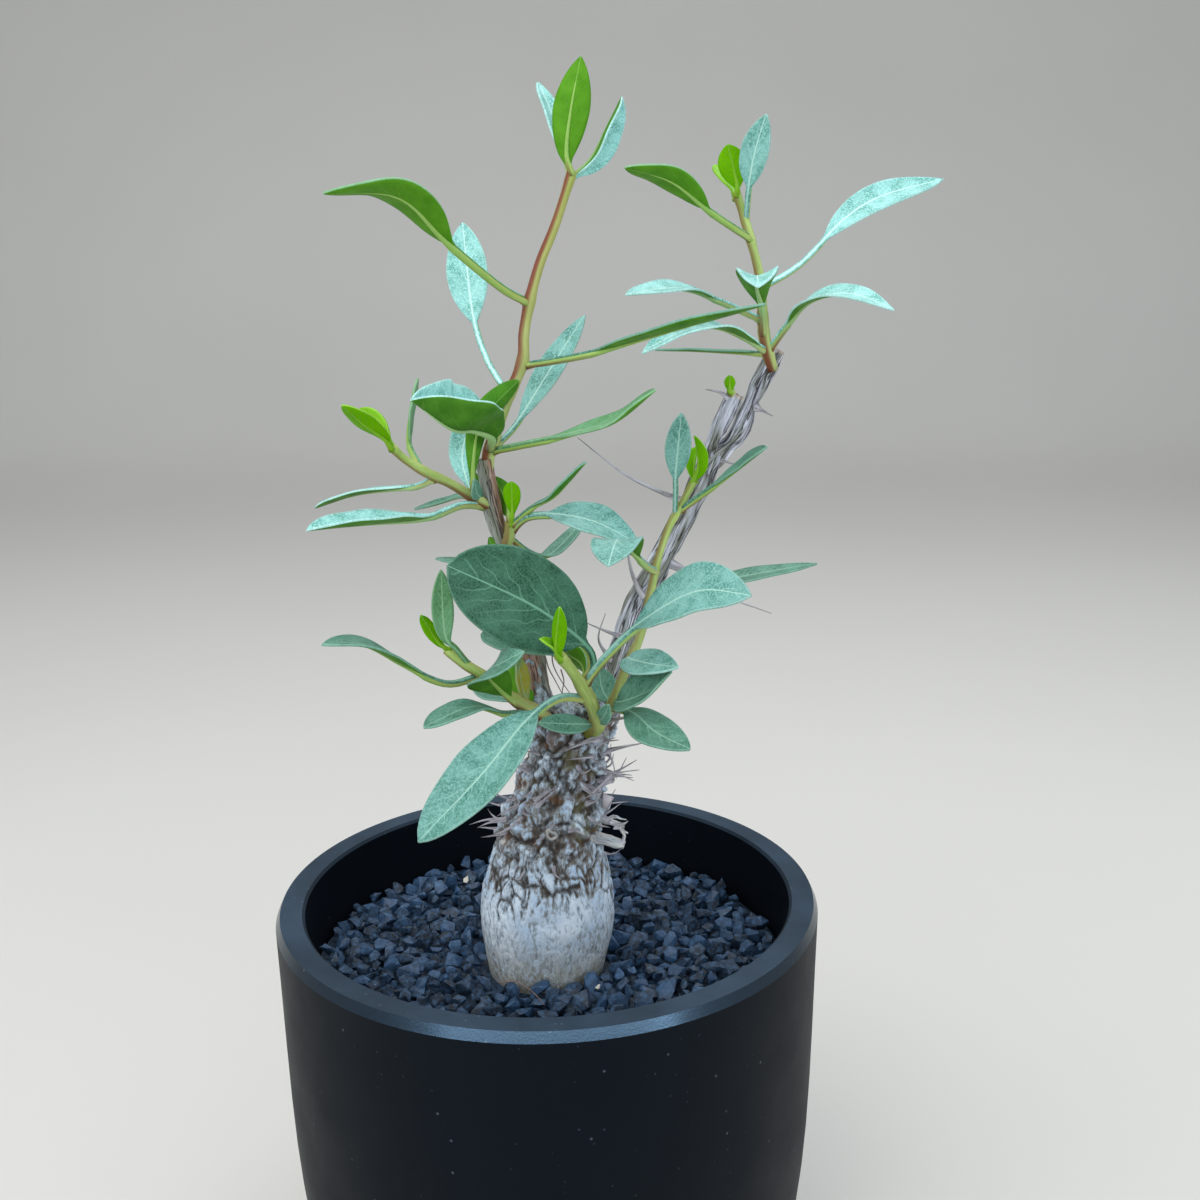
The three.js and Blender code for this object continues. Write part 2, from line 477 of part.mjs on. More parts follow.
// Knobs where old shoots grew on the neck.
function knobs(grow) {
  const random = seeded(5);
  return Array.from({ length: KNOB_COUNT }, (_, i) => {
    const height = THREE.MathUtils.lerp(NECK[0], NECK[1], (i + 0.5) / KNOB_COUNT);
    const { x, radius } = caudexAt(height);
    const angle = i * GOLDEN_ANGLE;
    const geometry = new THREE.OctahedronGeometry(KNOB_SIZE * (0.8 + 0.4 * random()) + 1.8 * grow);
    geometry.rotateX(random() * 3).rotateZ(random() * 3);
    return solidOf(geometry).translate([
      x + 0.93 * radius * Math.cos(angle),
      CAUDEX_CENTRE[1] + 0.93 * radius * Math.sin(angle),
      height,
    ]);
  });
}

function wood(grow = 0) {
  const stems = WOOD.map(({ points, radius }) => tube(points, radius, 9, 6, grow));
  const spines = SPINES.map(([radius, points]) => tube(points, [radius, 0.2], 4, 4.5, grow));
  return Manifold.union([caudex(grow), ...knobs(grow), ...stems, ...spines]);
}

// Leaves

// Share of the full width at s along the blade, from 0 at its base to 1 at its tip.
function bladeOutline(s, widest, taper) {
  const rise = Math.max(s / widest, 0) ** widest;
  const fall = Math.max((1 - s) / (1 - widest), 0) ** (1 - widest);
  return (rise * fall) ** taper;
}

// Places along a leaf where its section is set, close together only where the outline turns fast.
function leafStations(length, stalk) {
  const stalkSteps = Math.max(1, Math.round(length * stalk / 5));
  const stations = Array.from({ length: stalkSteps }, (_, i) => stalk * i / stalkSteps);
  const blade = length * (1 - stalk);
  const spread = blade > 24 ? [0, 0.16, 0.36, 0.56, 0.76, 0.92, 1]
    : blade > 12 ? [0, 0.22, 0.5, 0.8, 1] : [0, 0.35, 0.78, 1];
  return [...stations, ...spread.map((s) => stalk + (1 - stalk) * s)];
}

function leafSolid({ width, stalk, widest, face, fold, midrib, taper, twist }) {
  const curve = smoothLine(midrib);
  const stations = leafStations(curve.getLength(), stalk);
  const middle = stalk + (1 - stalk) * widest;
  const away = (u) => Math.abs(u - middle);
  const given = stations.reduce((best, u, i) => (away(u) < away(stations[best]) ? i : best), 0);
  const frames = framesAlong(curve, stations, point(face), given);
  const angle = THREE.MathUtils.degToRad(fold);
  const rings = frames.map(({ place, forward, face: up }, i) => {
    const s = (stations[i] - stalk) / (1 - stalk);
    const blade = s <= 0 ? 0 : bladeOutline(s, widest, taper) * width / 2;
    const half = Math.max(blade, s >= 1 ? 0.3 : STALK_RADIUS);
    const turn = THREE.MathUtils.degToRad(twist) * (stations[i] - stations[given]);
    const normal = up.clone().applyAxisAngle(forward, turn);
    const side = forward.clone().cross(normal);
    const bend = s <= 0 ? 0 : angle;
    const edge = (sign, lift) => place.clone()
      .addScaledVector(side, sign * (half * Math.cos(bend) - lift * Math.sin(bend)))
      .addScaledVector(normal, half * Math.sin(bend) + lift * Math.cos(bend));
    const rib = (lift) => place.clone().addScaledVector(normal, lift / Math.cos(bend));
    return [
      edge(-1, LEAF_HALF_THICKNESS), rib(MIDRIB_HALF_THICKNESS), edge(1, LEAF_HALF_THICKNESS),
      edge(1, -LEAF_HALF_THICKNESS), rib(-MIDRIB_HALF_THICKNESS), edge(-1, -LEAF_HALF_THICKNESS),
    ];
  });
  return skin(rings, [[0, 1, 4], [0, 4, 5], [1, 2, 3], [1, 3, 4]], [3, 4]);
}

function shoot({ stem, radius, leaves }, clearance) {
  const green = [tube(stem, radius, 6, 5), ...leaves.map(leafSolid)];
  return Manifold.union(green).subtract(clearance);
}

// Assembly

function mesh(name, solid, colour, roughness) {
  const { vertProperties, triVerts } = solid.getMesh();
  const geometry = new THREE.BufferGeometry();
  geometry.setAttribute("position", new THREE.BufferAttribute(vertProperties, 3));
  geometry.setIndex(new THREE.BufferAttribute(triVerts, 1));
  const made = new THREE.Mesh(geometry, new THREE.MeshStandardMaterial({ color: colour, roughness }));
  made.name = name;
  return made;
}

const group = new THREE.Group();
group.name = "potted_boojum_tree";
group.add(mesh("pot", pot(), 0x15191f, 0.5));
group.add(mesh("potting_mix", pottingMix(), 0x3a2f28, 0.95));
group.add(mesh("gravel_top", gravelTop(), 0x2b333d, 0.8));
group.add(mesh("caudex_and_stems", wood(), 0x8f949a, 0.85));

const clearance = wood(WOOD_CLEARANCE);
for (const part of SHOOTS) group.add(mesh(part.name, shoot(part, clearance), 0x5c9a6a, 0.55));

export default group;
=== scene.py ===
"""Potted boojum tree: a swollen silvery caudex with a rough spiny neck, two woody stems and slender leafy
shoots, in a matt black round pot filled with dark angular gravel.

Points are in millimetres, with +Z up, the front facing -Y and the origin at the centre of the
pot's underside. Everything that is built from them is in metres.
"""

import math
import random

import bmesh
import bpy
from mathutils import Matrix, Vector, noise


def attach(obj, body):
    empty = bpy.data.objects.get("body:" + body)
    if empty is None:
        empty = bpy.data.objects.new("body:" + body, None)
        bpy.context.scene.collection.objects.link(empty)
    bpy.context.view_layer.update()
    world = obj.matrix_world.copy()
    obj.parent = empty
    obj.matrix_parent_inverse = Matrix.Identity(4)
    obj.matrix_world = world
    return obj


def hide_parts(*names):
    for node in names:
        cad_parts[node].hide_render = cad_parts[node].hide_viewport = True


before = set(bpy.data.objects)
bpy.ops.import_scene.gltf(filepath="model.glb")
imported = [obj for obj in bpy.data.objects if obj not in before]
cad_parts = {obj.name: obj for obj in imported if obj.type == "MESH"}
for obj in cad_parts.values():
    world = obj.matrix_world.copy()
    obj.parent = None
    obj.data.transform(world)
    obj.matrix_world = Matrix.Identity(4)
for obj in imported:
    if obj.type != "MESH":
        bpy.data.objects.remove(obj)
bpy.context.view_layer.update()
noise.seed_set(5)

MM = 0.001
GOLDEN_ANGLE = 2.39996

# Pot and filling, in millimetres
RIM_RADIUS = 60
POT_HEIGHT = 108
RIM_WIDTH = 6.3
CHAMFER = (1, 2)
FOOT_RADIUS = 38
FOOT_WIDTH = 7
PAD_RADIUS = 12
RECESS = 2
FLOOR_THICKNESS = 8
DRAIN_RADIUS = 4
DRAIN_CIRCLE = 21
NOTCH_WIDTH = 7
GRAVEL_LEVEL = 93.4
SOIL_LEVEL = 90
POT_SEGMENTS = 144
BEVEL_WIDTH = 0.25
STONE_SHAPES = 14
STONE_CORNERS = 14
STONE_LAYERS = ((92.0, 640), (94.1, 560))
COMMON_STONE = (1.3, 2.5)
LARGE_STONE = (2.2, 2.9)
STRAY_GRAINS = (((-22, 30.4, 96.2), 1.0, 1), ((11, -22.3, 96), 0.7, 0.7))

# Plant, in millimetres
CAUDEX_CENTRE = (-0.5, -4.5)
CAUDEX_SIDES = 48
BARK_VOXEL = 0.4
NECK = (122, 150)
KNOB_COUNT = 32
KNOB_SIZE = 2.4
STEM_SIDES = 36
STEM_STEP = 0.9
KNOT_REACH = 2.2
SPINE_SIDES = 8
SPINE_STEPS = 14
SMALL_SPINES = 64
SMALL_SPINE_BAND = (119, 151)
FLAKE_PLACE = (13.2, -9, 132.2)
FLAKE_SIZE = 1.3
LEAF_STEPS = 48
BLADE_COLUMNS = 10
BLADE_THICKNESS = 0.45
STALK_SIDES = 10
STALK_STEPS = 22
SHOOT_SIDES = 14
SHOOT_STEP = 1.2

# The photograph's view, in millimetres and degrees
CAMERA_PLACE = (12.4, -271.1, 236.8)
CAMERA_PITCH = 12.94
CAMERA_ROLL = 0.71
FOCAL_LENGTH = 39
SENSOR_WIDTH = 36

# The studio, in metres: the line of the floor and backdrop, and each light's place, size, power and colour.
SWEEP_LINE = [(-1.6, 0), (1.1, 0), (1.35, 0.05), (1.52, 0.2), (1.6, 0.42), (1.62, 2.4)]
SWEEP_WIDTH = 5.2
SKY_COLOUR = (0.86, 0.93, 1.0, 1)
SKY_POWER = 0.42
LIGHT_AIM = (0, 0, 0.14)
WINDOW_COLOUR = (0.78, 0.89, 1.0)
LIGHTS = {
  "key": [(-0.35, -0.45, 0.95), (0.6, 0.6), 4, (1.0, 0.98, 0.95)],
  "overhead": [(0.15, 0.3, 1.0), (0.9, 0.9), 5.5, (0.9, 0.95, 1.0)],
  "window": [(0.1, -1.1, 0.6), (2.2, 0.25), 9, WINDOW_COLOUR],
  "left_window": [(-1.05, -0.35, 0.6), (1.4, 0.25), 4.5, WINDOW_COLOUR],
  "right_window": [(1.15, -0.35, 0.6), (1.4, 0.25), 4.5, WINDOW_COLOUR],
}

# How a leaf is coloured: how young, how silvery and how far it has yellowed.
YOUNG = (1.0, 0.0, 0.0)
FRESH = (0.3, 0.3, 0.0)
MATURE = (0.05, 0.25, 0.0)
PALE = (0.0, 1.0, 0.0)
SILVERY = (0.0, 0.6, 0.0)
HOARY = (0.0, 0.42, 0.0)
DARK = (0.0, 0.0, 0.0)
YELLOWING = (0.2, 0.3, 1.0)

# The caudex as level rings: height, centre x, radius, and how rough the bark is there.
CAUDEX = [
  [73, -0.5, 8.0, 0],
  [76, -0.5, 11.0, 0],
  [83, -0.6, 12.0, 0],
  [90, -0.8, 12.5, 0.2],
  [95, -0.6, 13.4, 0.3],
  [101, -0.3, 14.6, 0.4],
  [106, -0.2, 14.9, 0.4],
  [111, -0.1, 14.5, 0.5],
  [115, 0.2, 13.4, 0.6],
  [119, 0.4, 12.5, 0.8],
  [123, 0.2, 12.2, 1.0],
  [127, 1.0, 11.4, 1.1],
  [131, 2.3, 10.5, 1.1],
  [135, 3.2, 10.0, 1.1],
  [139, 4.2, 9.5, 1.0],
  [143, 5.0, 9.0, 1.0],
  [147, 5.8, 8.4, 0.9],
  [151, 6.8, 7.2, 0.7],
  [154, 7.4, 5.0, 0.4],
]

# Woody stems: points from the neck upwards, radius at the foot and at the top.
WOOD = [
  {"name": "right stem", "radius": [3.3, 2.3],
    "points": [[11, -3.5, 146], [13.5, -3, 152], [17, -1, 163], [21, 1, 174], [26, 2, 183], [32, 4, 195],
      [37, 5, 205]] },
  {"name": "left fork", "radius": [2.0, 1.75], "points": [[35, 4.6, 201], [38.5, 5, 211], [41.5, 5, 217.5]] },
  {"name": "right fork", "radius": [2.3, 1.75],
    "points": [[35.5, 4.8, 203], [41.5, 6, 208], [44.5, 7, 213.5], [46.5, 7, 219], [50.5, 7, 226.5]] },
  {"name": "left stem", "radius": [2.5, 1.7],
    "points": [[3.5, -5.5, 146], [0.5, -6, 152], [-2, -7, 165], [-5, -7, 178], [-7.5, -8, 189],
      [-9.5, -9, 197.5], [-10.5, -9, 206]] },
]

# Long spines on the neck and the wood: radius at the foot, then the line to the tip.
SPINES = [
  [0.75, [[31, 3.6, 195], [25.5, -3, 198], [17.5, -11, 203], [8.5, -18, 211]]],
  [0.7, [[40.5, 5, 216], [38, 2, 218], [34.5, -3, 219]]],
  [0.7, [[46, 6, 214.5], [49, 2, 213]]],
  [0.7, [[37, 5, 204], [41.5, 1, 203]]],
  [0.9, [[26.5, 2, 182.5], [32, -1, 180], [38.5, -6, 176.5], [47.5, -12, 174]]],
  [0.75, [[22, 0, 174.5], [19, -6, 182], [17.5, -12, 193]]],
  [0.75, [[18, -2, 166.5], [14, -8, 169.5], [9.5, -14, 173]]],
  [0.6, [[14.5, -3, 162], [12, -8, 168], [13.5, -10, 174]]],
  [1.0, [[11.5, -10, 147], [9.5, -15, 148], [4, -19, 147]]],
  [0.8, [[10, -9, 142.5], [10, -15, 144.5], [5, -18, 145]]],
  [0.9, [[11.5, -6, 142], [16, -11, 145], [21.5, -15, 147.5]]],
  [0.8, [[11, -7, 139], [15.5, -13, 140], [19, -16, 139.5]]],
  [0.8, [[-2, -12, 132.5], [0.5, -17, 136], [3.5, -20, 140]]],
  [0.8, [[9, -10, 136], [12, -16, 137], [9, -20, 137.5]]],
  [0.7, [[-5.5, -6, 131.5], [-8.5, -8, 133], [-11, -9, 134.5]]],
  [0.7, [[-2.5, -8, 138.5], [-5, -12, 141.5], [-6.5, -15, 146]]],
  [0.8, [[2, 3, 134], [-1, 8, 137], [-2, 12, 141]]],
  [0.8, [[7.5, 1.5, 142.5], [10, 8, 145], [9, 13, 149]]],
  [0.7, [[8, 0.5, 131], [15, 6, 132], [18, 8, 136]]],
  [0.75, [[-3, -11, 133], [1, -15, 136.8], [3.4, -17, 139]]],
  [0.85, [[14, -9, 137.5], [11, -14.5, 136.9], [8.2, -18, 136]]],
  [0.6, [[12, -6, 148.5], [17.5, -11, 151.6], [21, -14, 150.4], [22.6, -15, 147.6]]],
  [0.6, [[13, -5, 142], [14.5, -10, 142], [15.4, -12, 138.5]]],
]

# The dead two-pronged stub and its torn ends: radius at the foot and at the tip, then the line.
STUBS = [
  [2.0, 1.0, [[3, -5, 123.6], [11, -8.6, 123.8], [16.9, -10.2, 122.6]]],
  [1.6, 0.5, [[4, -5, 127.2], [11.5, -8.3, 128], [16.9, -10, 126.9]]],
  [0.45, 0.3, [[16.2, -10.2, 122.8], [17, -10.4, 124.6], [16, -10.2, 126.8]]],
  [0.6, 0.12, [[12.6, -9, 128.2], [15, -10, 129], [17.3, -11, 128.7]]],
  [0.5, 0.1, [[14, -9.4, 127.6], [16, -10.4, 127.6], [18, -11.2, 128.4]]],
  [0.5, 0.15, [[15, -9.8, 126.9], [16.6, -10.4, 126.2], [17.8, -11, 125.6]]],
]

# Knots on the woody stems: place, and how far they stand out.
KNOTS = [
  [29.6, 0.6, 181.6, 1.2], [40.4, 4.4, 206.8, 1.5], [28.6, 2.6, 196.8, 1.0], [35.5, 3.4, 201, 0.8],
  [46.6, 6, 214.6, 0.9], [48.6, 5.2, 221.8, 1.2], [19, -1.5, 167, 0.8], [-7.5, -8.5, 187.5, 0.9],
  [1.5, -8, 156.5, 0.9],
]

# Hair-thin dried filaments, among the stems and on the gravel.
HAIRS = [
  [[0.8, -9, 164.7], [1.5, -9.2, 162.1], [2.8, -9.4, 159.5], [5.4, -9, 154]],
  [[2.2, -8, 165.3], [2.4, -8.4, 162.7], [3.8, -8.6, 159.6], [6.6, -8, 155]],
  [[-0.3, -10, 163.7], [0.3, -10.2, 162.4], [1.3, -10, 158.9], [2.2, -9, 154]],
  [[4, -8, 161.5], [4.6, -8.4, 159], [4.2, -8.6, 156.5], [4.8, -8, 153.5]],
  [[-10, -20.5, 96.4], [-6, -22.5, 97.4], [-2.5, -26, 97], [0, -30, 96.4]],
]


# A leaf: blade width, share of its length that is bare stalk, where the blade is widest, the way its
# upper side faces there, how far the two halves fold up (degrees), and its midrib from stem to tip.
# A higher taper gives more pointed ends, and twist turns the blade along its length (degrees).
def leaf(width, stalk, widest, face, fold, midrib, taper=1.7, twist=0, tone=MATURE):
    return {"width": width, "stalk": stalk, "widest": widest, "face": face, "fold": fold,
            "midrib": midrib, "taper": taper, "twist": twist, "tone": tone}


# Leafy shoots, each with its own green "stem": points, radius at the foot and at the top. A fresh foot is
# bright green where it leaves the wood, and "red" is how far the stem is flushed at its foot and top.
SHOOTS = [
  {"name": "shoot_left_leader", "fresh_foot": 0.0, "red": [0.95, 1.6],
    "radius": [1.3, 0.9],
    "stem": [[-10, -9, 204], [-9.5, -9, 207.5], [-6, -10, 217], [-2.5, -9, 225], [-2, -8, 231],
      [-0.5, -8, 238], [1.5, -7, 244.5], [4.5, -6, 251.5], [8, -5, 261.5]],
    "leaves": [
      leaf(7.2, 0.08, 0.5, [0.1, 1, 0.2], 15,
        [[8, -5, 261], [7, -6, 265], [8, -6, 273], [10, -2, 283]], tone=FRESH),
      leaf(4.4, 0.1, 0.55, [0.7, -1, 0.3], 20,
        [[8, -5, 261], [6, -2, 266], [4, 3, 273], [1, 8, 280]], tone=PALE),
      leaf(7, 0.06, 0.5, [0.9, -0.5, -0.2], 42,
        [[8, -5, 260], [12, -4, 264], [15, -3, 270], [18, 1, 276]], tone=PALE),
      leaf(9.5, 0.42, 0.5, [-0.1, 0.2, 1], 14,
        [[-1, -8, 237], [-6, -14, 240], [-15, -24, 248], [-22, -34, 255], [-33, -44, 255]], tone=FRESH),
      leaf(8.6, 0.46, 0.5, [-0.1, -1, 0.4], 12,
        [[-6, -10, 220], [-10, -4, 226], [-13, 2, 235], [-15, 8, 253]], tone=PALE),
      leaf(8, 0.36, 0.5, [0, 0, 1], 10,
        [[-2, -9, 225], [4, -14, 226], [13, -24, 228], [27, -36, 232], [41, -46, 236]]),
      leaf(6, 0.22, 0.5, [-0.4, -1, 0.5], 12,
        [[-8, -9, 209], [-4, -5, 213], [2, 2, 222], [10, 8, 234]], tone=SILVERY),
      leaf(19, 0.14, 0.5, [0.1, -0.62, 1], 54,
        [[-8.7, -10, 209], [-8.3, -15, 211.3], [-11.5, -20, 213], [-15, -27, 214], [-21, -36, 220]],
        tone=PALE),
      leaf(8, 0.36, 0.6, [-0.1, -0.35, 1], 12,
        [[-9, -9.5, 208], [-1, -15, 210], [7, -20, 212], [16, -26, 215], [23, -32, 221]], tone=FRESH),
    ] },
  {"name": "shoot_left_side", "fresh_foot": 0.0, "red": [1.0, 0.7],
    "radius": [1.1, 0.75],
    "stem": [[-9.5, -9, 196.5], [-12, -11, 198], [-17, -15, 202], [-21, -18, 204.5], [-25, -20, 207.5],
      [-27, -22, 210]],
    "leaves": [
      leaf(5, 0.12, 0.62, [-0.2, 1, 0.4], 25,
        [[-13, -12, 199], [-12.5, -13, 206], [-11.4, -13.3, 212], [-9.2, -13.7, 216], [-3, -13.5, 222]],
        tone=MATURE),
      leaf(6, 0.1, 0.5, [-0.3, -1, 0.1], 22,
        [[-13, -12, 199], [-15, -9, 206], [-14, -6, 212], [-13, -3, 219]], tone=PALE),
      leaf(3, 0.1, 0.5, [0, 1, 0.3], 10, [[-12, -11, 198], [-13, -7, 200.5], [-14, -3, 203]]),
      leaf(4.6, 0.1, 0.5, [0.2, 0.9, 0.7], 18,
        [[-27, -22, 210], [-28, -24, 212], [-31, -28, 215], [-34, -33, 219]], tone=YOUNG),
      leaf(4, 0.1, 0.5, [0.3, -0.6, -0.3], 30,
        [[-27, -22, 210], [-29, -19, 213], [-31, -17, 215], [-34, -15, 217]], tone=YOUNG),
      leaf(4.4, 0.3, 0.55, [1, 0.05, 0], 6,
        [[-22, -18, 205.5], [-25, -12, 210], [-25, -8, 216], [-24, -4, 222]], tone=FRESH),
      leaf(5.5, 0.25, 0.55, [0, 0, 1], 12,
        [[-20, -17, 203.5], [-25, -10, 201], [-38, 0, 198], [-49, 8, 194]], tone=PALE),
      leaf(8, 0.34, 0.55, [0, -0.15, 1], 26,
        [[-11, -10, 197], [-15, -16, 198], [-21, -26, 197], [-29, -38, 198], [-38, -50, 199]], tone=PALE),
      leaf(4.4, 0.15, 0.55, [0, -0.3, 1], 10,
        [[-12, -11, 198], [-16, -5, 198], [-21, -1, 196], [-27, 4, 194]]),
      leaf(2.6, 0.1, 0.5, [0.3, -1, 0.4], 10, [[-11, -10, 198], [-12, -14, 200], [-12, -17, 203]]),
    ] },
  {"name": "shoot_left_middle", "fresh_foot": 0.0, "red": [0.8, 0.6],
    "radius": [1.1, 0.9],
    "stem": [[-7.5, -8, 187.5], [-6, -10, 190], [-5.5, -11, 193.5]],
    "leaves": [
      leaf(3.4, 0.25, 0.62, [0, 1, 0.2], 4, [[-5.5, -11, 193], [-5, -12, 196], [-5, -13, 202]], tone=YOUNG),
      leaf(4.2, 0.25, 0.6, [-0.3, -0.1, 1], 14,
        [[-5.5, -11, 193], [-1, -14, 197], [4, -18, 200], [10, -24, 207]]),
      leaf(9, 0.34, 0.45, [0.1, -0.5, 0.8], 14,
        [[-5.5, -10.5, 192], [-2, -13, 195], [4, -15, 195.5], [12, -17, 194], [20.5, -18, 189.5]],
        tone=SILVERY),
      leaf(4.5, 0.15, 0.5, [0, 1, 0.2], 20, [[-5.5, -11, 193], [-6.5, -7.5, 197], [-9, -5, 202]]),
      leaf(4.6, 0.3, 0.5, [-0.3, -0.4, 1], 8, [[-6, -10, 190.5], [-2, -4, 186], [2, 3, 184], [9, 16, 189]]),
    ] },
  {"name": "shoot_left_back", "fresh_foot": 0.0, "red": [0.8, 0.6],
    "radius": [0.9, 0.8],
    "stem": [[-5.5, -7, 179], [-7.5, -4.5, 181], [-8.5, -3.5, 182]],
    "leaves": [
      leaf(5, 0.15, 0.5, [0, 0, 1], 10, [[-8, -4, 181.5], [-13, -2, 183], [-18, 1, 183], [-23, 5, 183]]),
      leaf(5, 0.15, 0.5, [0.2, 1, 0.2], 20, [[-8, -4, 181.5], [-9, -2, 184], [-11, 2, 188]]),
    ] },
  {"name": "shoot_low_left", "fresh_foot": 0.0, "red": [1.2, 0.7],
    "radius": [1.4, 0.8],
    "stem": [[1.5, -9, 150.5], [-1, -12, 153.5], [-4.5, -15, 156.5], [-8, -18, 160.5], [-11.5, -20, 164],
      [-16, -20, 167], [-18.5, -19, 169]],
    "leaves": [
      leaf(2.4, 0.12, 0.55, [-0.4, 1, 0.3], 12,
        [[-18, -19, 169], [-20, -20, 171], [-23, -22, 177]], tone=YOUNG),
      leaf(4.2, 0.32, 0.5, [0.2, -1, 0.2], 10,
        [[-14, -20, 166], [-16, -23, 170], [-18, -25, 174], [-18, -27, 187]], tone=FRESH),
      leaf(6.5, 0.34, 0.55, [0, -0.3, 1], 14,
        [[-12, -20, 164], [-18, -25, 164], [-25, -33, 170], [-31, -41, 176], [-37, -48, 178]]),
      leaf(9, 0.1, 0.48, [-0.5, -0.1, 0.9], 8,
        [[-5, -15.5, 157], [-8, -20, 161], [-10, -26, 166], [-6, -32.6, 170], [-2, -35, 172.8]], 1.5, 90),
      leaf(5, 0.15, 0.5, [0.3, -0.8, 0.7], 10,
        [[-4, -14, 156], [-8, -10, 156], [-12, -5, 156], [-16, 0, 158]]),
      leaf(6, 0.3, 0.62, [0, -0.3, 1], 12,
        [[-2, -13, 154.5], [-7, -20, 156], [-13, -29, 160], [-21, -38, 159]]),
      leaf(4.6, 0.15, 0.5, [0.8, -0.6, 0], 26,
        [[-2, -13, 154], [-4, -12, 158], [-5, -12, 166]], tone=YELLOWING),
      leaf(6, 0.12, 0.5, [0.3, 1, 0], 16, [[-1, -12, 153.5], [-4, -8, 156], [-6, -3, 164]], tone=FRESH),
    ] },
  {"name": "shoot_centre", "fresh_foot": 0.9, "red": [0.6, 0.4],
    "radius": [1.7, 1.0],
    "stem": [[9, -9, 147.5], [11.5, -14, 151], [10.5, -19, 157], [8.5, -23, 162.5], [6.5, -27, 167],
      [4.5, -30, 170.5]],
    "leaves": [
      leaf(18.5, 0.24, 0.52, [0.12, -0.9, 0.3], 8,
        [[9, -22, 162], [11, -21, 166], [9, -22, 171], [-1, -27, 180], [-16, -33, 189]], 1.25, tone=DARK),
      leaf(12, 0.32, 0.52, [-0.3, -0.75, 0.6], 16,
        [[10, -20, 159], [4, -26, 161], [-2, -35, 159], [-10, -46, 152], [-21, -52, 142]], 1.5, tone=HOARY),
      leaf(4.4, 0.08, 0.55, [0, -0.75, 0.6], 8, [[11, -15, 151.5], [6, -22, 154], [0, -27, 156]]),
      leaf(3.6, 0.1, 0.5, [0.5, 0.9, 0.1], 32, [[5, -30, 170], [4, -33, 173], [5, -38, 182]], tone=YOUNG),
      leaf(2.4, 0.1, 0.5, [0.1, -0.6, 0.8], 30, [[5, -30, 170], [3, -32, 173], [1, -34, 175]], tone=YOUNG),
      leaf(8, 0.1, 0.62, [0.1, -0.8, 0.7], 14,
        [[5, -29, 170], [0, -21, 170], [-6, -14, 170], [-12, -8, 170]], 1.4),
      leaf(5.5, 0.1, 0.55, [0.5, 1, 0.2], 14,
        [[9, -22, 161], [9, -15, 164], [6, -9, 165], [4, -4, 166]], tone=FRESH),
      leaf(11.5, 0.38, 0.52, [-0.1, -0.7, 0.7], 14,
        [[9, -23, 163], [13, -26, 169], [20, -31, 177], [30, -40, 185], [39, -48, 186]], tone=SILVERY),
      leaf(3.2, 0.1, 0.55, [-0.2, -1, 0.3], 14, [[11.5, -15, 152], [13, -20, 155], [14, -22, 158]]),
    ] },
  {"name": "shoot_slim_right", "fresh_foot": 0.5, "red": [0.5, 0.8],
    "radius": [1.1, 0.65],
    "stem": [[10.5, -7, 149.5], [14, -12.5, 154], [17, -15, 162], [20.5, -14, 170], [22.5, -12, 177],
      [24, -10, 184], [26.5, -8, 191], [28.5, -7, 194.5], [32, -5, 200.5]],
    "leaves": [
      leaf(4, 0.1, 0.5, [0.9, 0.45, 0.1], 44, [[32, -5, 200], [33, -6, 204], [32, -7, 210]], tone=YOUNG),
      leaf(3.2, 0.1, 0.5, [-0.6, 0.8, 0.1], 30, [[32, -5, 200], [32, -3, 204], [33, 0, 207]], tone=YOUNG),
      leaf(5.2, 0.4, 0.5, [-0.1, -1, 0.2], 14,
        [[28, -7, 193], [28, -9, 199], [28, -10, 203], [29, -12, 215]], tone=HOARY),
      leaf(4.6, 0.35, 0.6, [-0.3, -0.5, 1], 20,
        [[29, -7, 195], [34, -9, 199], [40, -14, 204], [45, -20, 209]]),
      leaf(9.5, 0.3, 0.6, [-0.1, -0.2, 1], 4,
        [[24, -10, 183], [22, -15, 185], [19, -22, 189], [16, -30, 193], [14, -40, 190]], 2.5, tone=SILVERY),
      leaf(7.4, 0.14, 0.5, [0.05, -0.8, 0.7], 8,
        [[19, -14.5, 166], [18, -20, 167], [22, -28, 168], [27, -34, 169]], tone=SILVERY),
      leaf(9.5, 0.12, 0.55, [-0.35, -0.55, 0.7], 28,
        [[15, -13.5, 156], [17, -20, 158], [22, -26, 162], [26, -30, 167]]),
      leaf(8.4, 0.2, 0.55, [0.2, -0.8, 0.6], 6,
        [[14.5, -13, 155], [19, -22, 156], [23, -31, 155], [29, -38, 154]]),
      leaf(6.6, 0.12, 0.5, [0.3, -1, 0.4], 14, [[14.5, -13, 155], [12.5, -10.5, 158], [12, -8, 162]]),
      leaf(5, 0.3, 0.45, [0, -0.35, 1], 10, [[23, -12, 178], [31, -4, 177], [42, 4, 178], [61, 14, 179]]),
    ] },
  {"name": "shoot_top_right", "fresh_foot": 0.0, "red": [1.0, 0.7],
    "radius": [1.2, 0.75],
    "stem": [[49.3, 6.3, 222.5], [48, 4.6, 226], [47, 4, 230.5], [46, 3, 240.5], [44, 3, 248.5],
      [42.5, 4, 253.5], [41, 4, 258]],
    "leaves": [
      leaf(5.6, 0.14, 0.55, [0, 1, 0.1], 8, [[41, 4, 257.5], [41, 3, 259.5], [39, 2, 267]], tone=YOUNG),
      leaf(3.4, 0.15, 0.55, [0.5, -1, 0.3], 10, [[41, 4, 257], [40, 7, 260], [37, 11, 264]], tone=YOUNG),
      leaf(5.8, 0.36, 0.48, [-0.3, -1, 0.2], 14,
        [[43, 4, 252], [43, 0, 258], [44, -2, 265], [46, -3, 272]], tone=SILVERY),
      leaf(7, 0.36, 0.5, [-0.2, 0.25, 1], 12,
